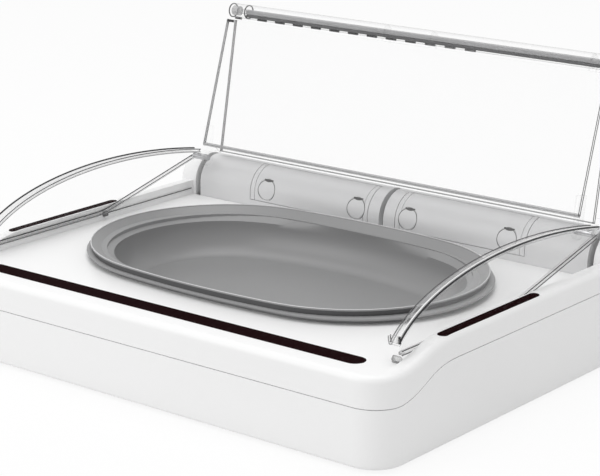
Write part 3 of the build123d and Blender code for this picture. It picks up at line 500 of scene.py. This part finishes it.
clear_edge = clear("clear_edge", 0.3, 0.9, 0.15, face_tone=0.6)
clear_guard = clear("clear_guard", 0.08, 0.85, 0.2)
line_dark = moulded("line_dark", (0.03, 0.03, 0.032), 0.35, drift=0.2, gloss=0.2, cover=0.92)
line_mid = moulded("line_mid", (0.13, 0.13, 0.133), 0.3, drift=0.15, gloss=0.3, cover=0.85)
line_pale = moulded("line_pale", (0.42, 0.42, 0.425), 0.25, drift=0.1, cover=0.8)
line_soft = moulded("line_soft", (0.5, 0.5, 0.505), 0.25, drift=0.08, cover=0.55)
seam_grey = moulded("seam_grey", (0.12, 0.12, 0.12), 0.6, drift=0.05)
# a darker copy of the white casing: painted shade for the pieces at the back
white_shaded = moulded("white_shaded", (0.7, 0.7, 0.705), 0.35, drift=0.02, relief=0.02)
pin_clear = clear("pin_clear", 0.1, 0.8, 0.35)
# dark band under the bowl's rim: painted shade
rim_dark = moulded("rim_dark", (0.09, 0.09, 0.092), 0.5, drift=0.03, gloss=0.2)
# pale line on the bowl's rim crest: painted highlight
rim_pale = moulded("rim_pale", (0.62, 0.62, 0.625), 0.2, drift=0.02)
# white line on the right guard: painted highlight
line_white = moulded("line_white", (0.9, 0.9, 0.9), 0.15, drift=0.02, cover=0.9)

finishes = {
    "white_plastic": white_casing,
    "clear_plastic": clear_sheet,
    "grey_bowl": bowl_grey,
    "grey_mat": mat_grey,
    "dark_window": dark_lens,
    "black_rubber": black_foot,
    "steel": bright_steel,
    "gear_plastic": gear_nylon,
    "board": board_green,
    "emitter": emitter_tint,
    "cell": cell_wrap,
    "grey_button": button_grey,
}

# Pieces with a finish of their own: the hinge tube, battery doors and catches at the back of the casing, whose
# darker copy of the white is painted shade, and the clear hinge pins
own_finish = {"lid_hinge_pins": pin_clear}
for name in ("hinge_tube", "left_battery_door", "right_battery_door", "left_inner_catch", "left_outer_catch",
             "right_inner_catch", "right_outer_catch"):
    own_finish[name] = white_shaded
for part in frame["record"]["subparts"]:
    node = frame["nodes"][part["node"]]
    node.data.materials.clear()
    node.data.materials.append(own_finish.get(part["node"], finishes[part["material_slot"]]))


# Bowl

def bowl_ring(inset_x, inset_y, height, half_x, half_y, centre_y, bulge=bowl_end_bulge, steps=oval_steps):
    """An oval drawn in by the insets. Its two end arcs and two long arcs share their tangents: each point is
    its arc's centre plus the arc's radius times the unit normal at that point."""
    half_x, half_y = half_x - inset_x, half_y - inset_y
    end_radius = half_y - bulge
    end_x = half_x - end_radius
    long_y = (end_x ** 2 - bulge ** 2) / (2 * bulge)
    turn = np.arctan2(long_y, end_x)
    end_turn = np.linspace(-turn, turn, steps, endpoint=False)
    long_turn = np.linspace(turn, pi - turn, steps, endpoint=False)
    angles = np.concatenate([end_turn, long_turn, end_turn + pi, long_turn + pi])
    at_end = np.repeat([1.0, 0.0, -1.0, 0.0], steps)
    at_long = np.repeat([0.0, -1.0, 0.0, 1.0], steps)
    radius = np.where(at_end != 0, end_radius, long_y + half_y)
    x = at_end * end_x + radius * np.cos(angles)
    y = at_long * long_y + radius * np.sin(angles) + centre_y
    return np.stack([x, y, np.full_like(x, height)], axis=-1)


def bowl_plan():
    """Half sizes and centre of the rim's oval, from the CAD bowl's box."""
    low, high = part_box("bowl")
    return (high.x - low.x) / 2 + rim_grow, (high.y - low.y) / 2 - rim_trim, (high.y + low.y) / 2 + rim_back


def make_bowl():
    """A profile of insets and heights carried round the bowl's oval: an undercut side, a rim arc, a flange
    that slopes down to a fine seam, and a basin wall that follows a superellipse quarter down to the floor.
    Over seat_depth the wall goes from the rim's oval to the plan of the CAD bowl, so that it clears the casing."""
    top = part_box("bowl")[1].z + rim_lift
    rim, run_x, run_y = 2 * rim_round, flange_in_x - seam_width, flange_in_y - seam_width
    edge_z = top - flange_drop
    rings = []
    for a in np.linspace(0, pi, rim_steps):
        inset = rim_round * (1 - cos(a))
        rings.append((inset, inset, top - rim_round + rim_round * sin(a)))
    for share in np.linspace(0, 1, flange_steps)[1:]:
        rings.append((rim + (run_x - rim) * share, rim + (run_y - rim) * share,
                      top - rim_round - (flange_drop - rim_round) * share))
    rings += [(run_x, run_y, edge_z - seam_depth), (flange_in_x, flange_in_y, edge_z - seam_depth),
              (flange_in_x, flange_in_y, edge_z)]
    plan = bowl_plan()
    points = [bowl_ring(x, y, z, *plan) for x, y, z in rings]
    low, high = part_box("bowl")
    seat = (high.x - low.x) / 2, (high.y - low.y) / 2, (high.y + low.y) / 2, seat_bulge
    depth = edge_z - bowl_floor_height
    wall, under = [], []
    for a in np.linspace(0, pi / 2, wall_steps)[1:]:
        inward, z = 1 - cos(a) ** wall_in_power, edge_z - depth * sin(a) ** wall_down_power
        share = min(1.0, (edge_z - z) / seat_depth)
        for rows, thick in ((wall, 0.0), (under, bowl_wall)):
            free = bowl_ring(flange_in_x - thick, flange_in_y - thick, z - thick, *plan)
            seat_in = seat_width - thick * wall_side_share
            held = bowl_ring(seat_in + basin_in_x * inward, seat_in + basin_in_y * inward, z - thick, *seat)
            rows.append(free * (1 - share) + held * share)
    points += wall
    foot, side_top = top - mat_drop - skirt_gap, top - rim_round - rim_side
    outside = [(flange_in_x - bowl_wall, flange_in_y - bowl_wall, foot - skirt_sink), (skirt_in, skirt_in, foot),
               (skirt_out, skirt_out, foot), (skirt_side, skirt_side, side_top)]
    points = np.array(points + under[::-1] + [bowl_ring(x, y, z, *plan) for x, y, z in outside])
    floor_row = len(rings) + len(wall) - 1
    ordered = np.concatenate([points[floor_row + 1:], points[:floor_row + 1]])
    piece = grid_piece("grey_bowl", ordered, bowl_grey, closed_v=True, caps=(True, True))
    crisp_edges(piece, crisp_angle)
    make_rim_trim(plan, top, side_top, foot + shade_rise)
    return finished(piece, "bowl", "grey_bowl", "bowl")


def make_rim_trim(plan, top, side_top, shade_foot):
    """A pale line of painted highlight along the rim's crest, and a dark band of painted shade that lines the
    skirt under the rim.
    """
    # painted highlight along the crest
    crest = bowl_ring(rim_round * crest_highlight_place, rim_round * crest_highlight_place, top - crest_highlight_drop, *plan)
    upward = np.tile([0.0, 0.0, 1.0], (len(crest), 1))
    finished(tube_around("rim_sheen", crest, upward, crest_highlight_radius, rim_pale), "bowl", "grey_bowl")
    # painted shade under the rim
    shade = [(shade_high_out, side_top), (shade_low_out, shade_foot), (shade_low_in, shade_foot),
             (shade_high_in, side_top)]
    shade = np.array([bowl_ring(inset, inset, z, *plan) for inset, z in shade])
    under_rim = grid_piece("rim_underside", shade, rim_dark, closed_u=True, closed_v=True)
    crisp_edges(under_rim, crisp_angle)
    finished(under_rim, "bowl", "grey_bowl")


def make_mat():
    """The soft ring under the rim: a rounded bead on the outside over a narrow foot, carried round the oval.
    The bead reaches out by the cosine of its turn to the power of bead_power, and rises by the sine."""
    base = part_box("bowl_mat")[0].z
    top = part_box("bowl")[1].z + rim_lift - mat_drop
    middle, half = top - mat_height / 2, mat_height / 2
    profile = [(mat_inner, mat_inner, base), (mat_foot_x, mat_foot_y, base),
               (mat_foot_x - mat_foot_lean, mat_foot_y - mat_foot_lean, top - mat_height)]
    for a in np.linspace(-pi / 2, pi / 2, bead_steps):
        out = max(cos(a), 0.0) ** bead_power
        profile.append((bead_in_x - (mat_beyond + bead_in_x) * out, bead_in_y - bead_out_y * out,
                        middle + half * sin(a)))
    profile.append((mat_inner, mat_inner, top))
    plan = bowl_plan()
    points = np.array([bowl_ring(x, y, z, *plan) for x, y, z in profile])
    piece = grid_piece("grey_mat", points, mat_grey, closed_u=True, closed_v=True)
    crisp_edges(piece, mat_crisp_angle)
    return finished(piece, "base", "grey_mat", "bowl_mat")


make_bowl()
make_mat()


# Front window: a flat strip with round ends over the CAD window, as wide as the photo shows it

def make_window():
    """Level outlines of two half circles joined by straight sides: a side face and a fine sloped edge on top."""
    low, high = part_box("front_sensor_window")
    half = (high.y - low.y) / 2 * window_share
    middle_y, reach = (high.y + low.y) / 2 + window_back, (high.x - low.x) / 2
    turn = np.linspace(-pi / 2, pi / 2, window_steps)
    x = np.concatenate([reach - half + half * np.cos(turn), -reach + half - half * np.cos(turn)])
    y = middle_y + half * np.concatenate([np.sin(turn), -np.sin(turn)])
    levels = [high.z - window_sink, high.z + window_shoulder, high.z + window_rise]
    points = np.array([np.stack([x, y, np.full_like(x, z)], -1) for z in levels])
    points[2, :, 1] = middle_y + (points[2, :, 1] - middle_y) * (1 - window_edge / half)
    piece = grid_piece("front_window", points, dark_lens, closed_v=True, caps=(True, True))
    crisp_edges(piece, crisp_angle)
    finished(piece, "base", "dark_window", "front_sensor_window")


make_window()


# Guards: the curved flange follows the guide pin's path, the web hangs below it, and a bar runs up the strut

def pin_path(count=48):
    """The guide pin's centre as the lid closes: the knuckle turns about the tube's axis, and the front
    panel turns back about the knuckle by the fold ratio."""
    turn = np.linspace(0, lid_turn, count)
    arm_y, arm_z = knuckle_y - hinge_y, knuckle_z - hinge_z
    y = hinge_y + arm_y * np.cos(turn) - arm_z * np.sin(turn)
    z = hinge_z + arm_y * np.sin(turn) + arm_z * np.cos(turn)
    low_y, low_z = pin_y - knuckle_y, pin_z - knuckle_z
    back = turn - turn * fold_ratio
    return np.stack([y + low_y * np.cos(back) - low_z * np.sin(back),
                     z + low_y * np.sin(back) + low_z * np.cos(back)], -1)


def offset_path(path, distance):
    """The path moved along its normal, upward for a positive distance."""
    tangent = unit_tangent(path)
    return path + distance * np.stack([tangent[:, 1], -tangent[:, 0]], axis=-1)


def guard_section(path, x_middle):
    """Turns a path of Y and Z into points at an X."""
    return np.column_stack([np.full(len(path), x_middle), path])


def make_guard(side, name):
    """One clear guard: a flange strip of rounded section along the offset pin path, a web between it and the
    lower line, a strut bar along that line and a foot that turns down to the deck. Fine lines run along the
    edges, one of them a white line of painted highlight on the right guard, and a clip sits on the outside."""
    low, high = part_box(name)
    outer = max(abs(low.x), abs(high.x)) - clip_stand
    path = offset_path(pin_path(), pin_clearance + flange_thickness / 2)
    rear = path[0] + (path[0] - path[1]) / np.linalg.norm(path[0] - path[1]) * flange_tail
    foot_y = path[-1][0]
    drop = np.linspace(0, 1, foot_steps)[1:]
    turned = np.column_stack([foot_y - foot_bow * np.sin(drop * pi / 2),
                              path[-1][1] - (path[-1][1] - flange_foot) * drop ** foot_bend])
    spine = np.vstack([rear, path, turned])
    section = rounded_box_section(guard_flange_width, flange_thickness, flange_thickness * flange_round)
    flange = along_path(f"{name}_flange", guard_section(spine, side * (outer - guard_flange_width / 2)), section,
                        clear_guard)
    finished(flange, "base", "clear_plastic", name)

    top = offset_path(pin_path(), pin_clearance)
    lower_z = np.interp(top[:, 0], [foot_y, strut_foot_y, top[0][0]], [web_low, web_low, pin_z - strut_drop])
    share = np.linspace(0, 1, web_steps)
    heights = lower_z[:, None] + (top[:, 1] - lower_z)[:, None] * share[None, :]
    web_y = np.repeat(top[:, :1], web_steps, 1)
    face_out, face_in = (np.stack([np.full_like(heights, side * x), web_y, heights], -1)
                         for x in (outer, outer - web_thickness))
    web = grid_piece(f"{name}_web", np.concatenate([face_out, face_in[:, ::-1]], 1), clear_sheet, closed_v=True,
                     caps=(True, True), smooth=False)
    finished(web, "base", "clear_plastic")

    corners = np.array([[foot_y + strut_start, web_low], [strut_foot_y - strut_bend_front, web_low],
                        [strut_foot_y + strut_bend_back, web_low + strut_bend_rise],
                        [top[0][0], pin_z - strut_drop]])
    share = np.linspace(0, 1, strut_steps)
    bar = np.column_stack([np.interp(share, strut_shares, corners[:, 0]),
                           np.interp(share, strut_shares, corners[:, 1])])
    strut_width, strut_height = strut_size[:2]
    strut = along_path(f"{name}_strut", guard_section(bar, side * (outer - strut_width / 2)),
                       rounded_box_section(*strut_size), clear_guard)
    finished(strut, "base", "clear_plastic")

    foot_path = np.column_stack([foot_y + np.array(foot_lean),
                                 [web_low - foot_top_drop, foot_low + foot_knee_rise, foot_low]])
    foot = along_path(f"{name}_foot", guard_section(foot_path, side * (outer - foot_inset)),
                      rounded_box_section(*foot_size), clear_edge)
    finished(foot, "base", "clear_plastic")

    edge_top = offset_path(spine, flange_thickness / 2)
    edge_low = offset_path(spine, -flange_thickness / 2)
    inner = outer - guard_flange_width
    rise = np.array([0, strut_height / 2])
    wall_line = np.array([[strut_foot_y, wall_line_height],
                          [hinge_y - tube_radius - wall_line_gap, wall_line_height]])
    edges = [("outer_line", edge_top, outer, outer_line_radius, line_dark)]
    # the white line is a painted highlight
    if side > 0:  # only the right guard's flange shows a bright line
        edges.append(("sheen_line", edge_top, outer - guard_highlight_in, guard_highlight_radius, line_white))
    edges += [("inner_line", edge_top, inner, line_radius, line_mid),
              ("under_line", edge_low, inner, line_radius, line_pale),
              ("strut_high", bar + rise, outer, line_radius, line_dark),
              ("strut_low", bar - rise, outer, line_radius, line_mid),
              ("wall_line", wall_line, outer, line_radius, line_mid)]
    for tag, edge, x, thick, finish in edges:
        place = guard_section(edge, side * (x - line_radius))
        finished(tube_between(f"{name}_{tag}", place, thick, finish), "base", "clear_plastic")

    hook_path = np.array([[-clip_half_length, clip_height], [clip_half_length, clip_height]])
    hook = along_path(f"{name}_clip", guard_section(hook_path, side * (outer + clip_out)),
                      rounded_box_section(*clip_size), notch_dark)
    finished(hook, "base", "clear_plastic")


make_guard(-1, "left_guard")
make_guard(1, "right_guard")


# Lid: strips along the edges of its plates, and the bar, ribs, rings and stops of its top hinge

def x_bar(name, x_from, x_to, middle, section, material, body, first=(1, 0)):
    """A straight bar along X: a section of points about the middle, its first axis turned to the given way."""
    way = np.array(first, float)
    turned = section[:, :1] * way + section[:, 1:] * np.array([-way[1], way[0]])
    xs = np.linspace(x_from, x_to, bar_rows)
    points = np.stack([np.repeat(xs[:, None], len(section), 1),
                       np.repeat((middle[0] + turned[:, 0])[None], bar_rows, 0),
                       np.repeat((middle[1] + turned[:, 1])[None], bar_rows, 0)], -1)
    piece = grid_piece(name, points, material, closed_v=True, caps=(True, True))
    crisp_edges(piece, crisp_angle)
    return finished(piece, body, "clear_plastic")


def ring_about(name, x, middle, radius, thick, material, body, steps=40, sides=8):
    """A torus whose axis runs along X: a small circle carried round a large one."""
    turn = np.linspace(0, 2 * pi, steps, endpoint=False)[:, None]
    roll = np.linspace(0, 2 * pi, sides, endpoint=False)[None, :]
    reach = radius + thick * np.cos(roll)
    points = np.stack([x + thick * np.sin(roll) + 0 * turn, middle[0] + reach * np.cos(turn),
                       middle[1] + reach * np.sin(turn)], -1)
    return finished(grid_piece(name, points, material, closed_u=True, closed_v=True), body, "clear_plastic")


def plate_trim(name, start, end, half, body, low_band):
    """Strips just inside a plate's left and lower edges, and fine lines along the corners of its sides."""
    length = np.linalg.norm(end - start)
    down = (end - start) / length
    normal = np.array([down[1], -down[0]])
    path = start + down * np.linspace(0, length, strip_steps)[:, None]
    skin = plate_thickness / 2 - line_radius
    for side, tag in ((-1, "left"), (1, "right")):
        x = side * (half - edge_inset)
        if side < 0:
            section = rounded_box_section(strip_thickness, plate_thickness * strip_share, strip_corner)
            strip = along_path(f"{name}_{tag}_strip", guard_section(path, x), section, line_soft)
            finished(strip, body, "clear_plastic")
        for way, corner in ((1, "front"), (-1, "back")):
            line = tube_between(f"{name}_{tag}_{corner}_line", guard_section(path + normal * way * skin, x),
                                line_radius * corner_line_share, line_pale if side < 0 else line_mid)
            finished(line, body, "clear_plastic")
    left, right = -half + edge_inset, half - edge_inset
    section = rounded_box_section(plate_thickness * strip_share, strip_thickness, strip_corner)
    x_bar(f"{name}_low_strip", left, right, end - down * edge_inset, section, low_band, body, normal)
    if name == "front_plate":
        band = rounded_box_section(plate_thickness * band_share, band_height, band_corner)
        x_bar("front_plate_low_band", left, right, end - down * band_rise, band, line_soft, body, normal)
    section = rounded_box_section(2 * line_radius, 2 * line_radius, line_radius * low_line_round)
    x_bar(f"{name}_low_line", left, right, end - down * line_radius - normal * skin, section, line_dark, body,
          normal)


def make_lid_trim():
    """Trims both plates, whose ends are worked out from the hinges, and fills the top hinge: a bar in two
    bands with ribs under it, a core and rings at its ends, and a stop on each plate."""
    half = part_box("lid_front_panel")[1].x
    knuckle = np.array([knuckle_y, knuckle_z])
    pin = np.array([pin_y, pin_z])
    offset = barrel_radius - plate_thickness / 2
    down = (pin - knuckle) / np.linalg.norm(pin - knuckle)
    forward = np.array([down[1], -down[0]])
    front_top = knuckle + forward * offset
    plate_trim("front_plate", front_top + down * plate_start, front_top + down * front_reach, half, "lid_front",
               line_pale)
    foot = radians(rear_foot_angle)
    rear_low = np.array([hinge_y - rear_foot_radius * cos(foot), hinge_z + rear_foot_radius * sin(foot)])
    rise = (knuckle - rear_low) / np.linalg.norm(knuckle - rear_low)
    rear_top = knuckle + np.array([rise[1], -rise[0]]) * offset
    lift = (rear_top - rear_low) / np.linalg.norm(rear_top - rear_low)
    plate_trim("rear_plate", rear_top - lift * plate_start, rear_low, half, "lid_rear", line_pale)

    left, right = -half + bar_start, half - edge_inset
    high = rounded_box_section(2 * bar_radius, high_bar_height, high_bar_corner)
    low = rounded_box_section(2 * bar_radius, low_bar_height, low_bar_corner)
    seat = knuckle - np.array([bar_forward, 0.0])
    x_bar("hinge_high_bar", left, right, seat + np.array([0, high_bar_rise]), high, line_pale, "lid_rear")
    x_bar("hinge_low_bar", left, right, seat - np.array([0, bar_drop]), low, line_mid, "lid_rear")
    rib = rounded_box_section(*rib_size)
    for number in range(rib_count):
        x = left + (number + rib_start) * rib_pitch
        x_bar(f"hinge_rib_{number + 1}", x, x + rib_width, seat - np.array([0, bar_drop + rib_drop]), rib,
              line_dark if number < dark_ribs else line_mid, "lid_rear")
    turn = np.linspace(0, 2 * pi, core_sides, endpoint=False)
    core = core_radius * np.stack([np.cos(turn), np.sin(turn)], -1)
    x_bar("left_knuckle_core", -half + core_start, -half + core_end, knuckle, core, line_soft, "lid_rear")
    for name, x in (("left_outer_ring", -half + ring_radius), ("left_inner_ring", left - ring_radius),
                    ("right_outer_ring", half - ring_radius)):
        ring_about(name, x, knuckle, barrel_radius - ring_radius, ring_radius, line_mid, "lid_rear")
    stop = rounded_box_section(*stop_size)
    for name, middle, body in (("front_stop", front_top + down * (plate_start + front_stop_drop), "lid_front"),
                               ("rear_stop", rear_top - lift * (plate_start - rear_stop_rise), "lid_rear")):
        x_bar(name, -half + edge_inset, -half + stop_width, middle, stop, line_dark, body, forward)


make_lid_trim()


# Catches: a dark thumb notch at the top of each round catch and a fine seam round it, both bent to the tube

def make_catch_trim(side, place):
    """The notch is a patch of the door's cylinder whose height falls with the square of the distance from its
    middle. The seam is a thin tube along the catch's own circle, which is laid on the cylinder."""
    node = f"{side}_{place}_catch"
    low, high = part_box(node)
    middle = (low.x + high.x) / 2
    across = np.linspace(-1, 1, notch_columns)
    up = np.linspace(0, 1, notch_rows)
    reach = notch_turn * (1 - notch_fall * across ** 2)
    angle = np.radians(notch_angle - reach[:, None] * up[None, :])
    x = np.repeat((middle + across * notch_width / 2)[:, None], len(up), 1)
    outer, inner = (np.stack([x, hinge_y - radius * np.cos(angle), hinge_z + radius * np.sin(angle)], -1)
                    for radius in (tube_radius + notch_stand, tube_radius - notch_sink))
    shell = np.concatenate([outer, inner[:, ::-1]], 1)
    piece = grid_piece(f"{node}_notch", shell, notch_dark, closed_v=True, caps=(True, True))
    finished(piece, node, "grey_button")

    around = np.linspace(0, 2 * pi, catch_seam_steps, endpoint=False)
    radius, level = (high.x - low.x) / 2 + catch_seam_gap, (high.z + low.z) / 2
    tilt = np.arcsin((level - hinge_z) / tube_radius) + radius / tube_radius * np.sin(around)
    reach = tube_radius + catch_seam_stand
    circle = np.stack([middle + radius * np.cos(around), hinge_y - reach * np.cos(tilt),
                       hinge_z + reach * np.sin(tilt)], -1)
    face = np.stack([0 * tilt, -np.cos(tilt), np.sin(tilt)], -1)
    finished(tube_around(f"{node}_seam", circle, face, catch_seam_radius, seam_grey, catch_seam_sides), node,
             "grey_button")


for side in ("left", "right"):
    for place in ("inner", "outer"):
        make_catch_trim(side, place)


# Camera

lens = bpy.data.cameras.new("view")
lens.lens = camera_lens
lens.sensor_width = sensor_width
camera = bpy.data.objects.new("view", lens)
camera.location = camera_place
camera.rotation_euler = [radians(angle) for angle in camera_turn]
bpy.context.scene.collection.objects.link(camera)
bpy.context.scene.camera = camera
bpy.context.scene.view_settings.view_transform = "Standard"


# Studio

def background_rays(nodes, links):
    """1 for camera, glossy and transmission rays, which see the plain white surroundings."""
    path = nodes.new("ShaderNodeLightPath")
    first = nodes.new("ShaderNodeMath")
    first.operation = "MAXIMUM"
    links.new(path.outputs["Is Camera Ray"], first.inputs[0])
    links.new(path.outputs["Is Glossy Ray"], first.inputs[1])
    second = nodes.new("ShaderNodeMath")
    second.operation = "MAXIMUM"
    links.new(first.outputs[0], second.inputs[0])
    links.new(path.outputs["Is Transmission Ray"], second.inputs[1])
    return second.outputs[0]


def make_world():
    """Soft white light from all round, which the background rays see as plain white."""
    world = bpy.data.worlds.new("studio")
    bpy.context.scene.world = world
    world.use_nodes = True
    nodes, links = world.node_tree.nodes, world.node_tree.links
    nodes.clear()
    out = nodes.new("ShaderNodeOutputWorld")
    light = nodes.new("ShaderNodeBackground")
    light.inputs["Strength"].default_value = surround_light
    seen = nodes.new("ShaderNodeBackground")
    seen.inputs["Strength"].default_value = 1.0
    for shade in (light, seen):
        shade.inputs["Color"].default_value = (1.0, 1.0, 1.0, 1.0)
    mix = nodes.new("ShaderNodeMixShader")
    links.new(background_rays(nodes, links), mix.inputs["Fac"])
    links.new(light.outputs[0], mix.inputs[1])
    links.new(seen.outputs[0], mix.inputs[2])
    links.new(mix.outputs[0], out.inputs[0])


def make_floor():
    """A wide pale floor that keeps a soft part of the object's shadow and otherwise shows white."""
    material = bpy.data.materials.new("floor_white")
    material.use_nodes = True
    nodes, links = material.node_tree.nodes, material.node_tree.links
    nodes.clear()
    out = nodes.new("ShaderNodeOutputMaterial")
    matt = nodes.new("ShaderNodeBsdfDiffuse")
    matt.inputs["Color"].default_value = (floor_tone, floor_tone, floor_tone, 1.0)
    glow = nodes.new("ShaderNodeEmission")
    glow.inputs["Color"].default_value = (1.0, 1.0, 1.0, 1.0)
    share = nodes.new("ShaderNodeMath")
    share.operation = "MULTIPLY"
    share.inputs[1].default_value = floor_glow
    mix = nodes.new("ShaderNodeMixShader")
    links.new(background_rays(nodes, links), share.inputs[0])
    links.new(share.outputs[0], mix.inputs["Fac"])
    links.new(matt.outputs[0], mix.inputs[1])
    links.new(glow.outputs[0], mix.inputs[2])
    links.new(mix.outputs[0], out.inputs[0])
    grid = np.linspace(-floor_reach, floor_reach, 3)
    x, y = np.meshgrid(grid, grid, indexing="ij")
    mesh = bpy.data.meshes.new("floor")
    index = np.arange(9).reshape(3, 3)
    quads = np.stack([index[:-1, :-1], index[1:, :-1], index[1:, 1:], index[:-1, 1:]], axis=-1).reshape(-1, 4)
    mesh.from_pydata(np.stack([x, y, np.zeros_like(x)], axis=-1).reshape(-1, 3), [], quads.tolist())
    mesh.materials.append(material)
    floor = bpy.data.objects.new("floor", mesh)
    bpy.context.scene.collection.objects.link(floor)


def soft_lamp(name, place, target, size, power):
    """A square soft lamp that points at a target."""
    lamp = bpy.data.lights.new(name, "AREA")
    lamp.shape = "SQUARE"
    lamp.size = size
    lamp.energy = power
    holder = bpy.data.objects.new(name, lamp)
    holder.location = place
    direction = Vector(target) - Vector(place)
    holder.rotation_euler = direction.to_track_quat("-Z", "Y").to_euler()
    bpy.context.scene.collection.objects.link(holder)


make_world()
make_floor()
soft_lamp("top_lamp", (-0.1, -0.1, 1.6), lamp_target, 1.4, 10.0)
soft_lamp("front_lamp", (-0.7, -1.3, 0.9), lamp_target, 0.9, 5.0)
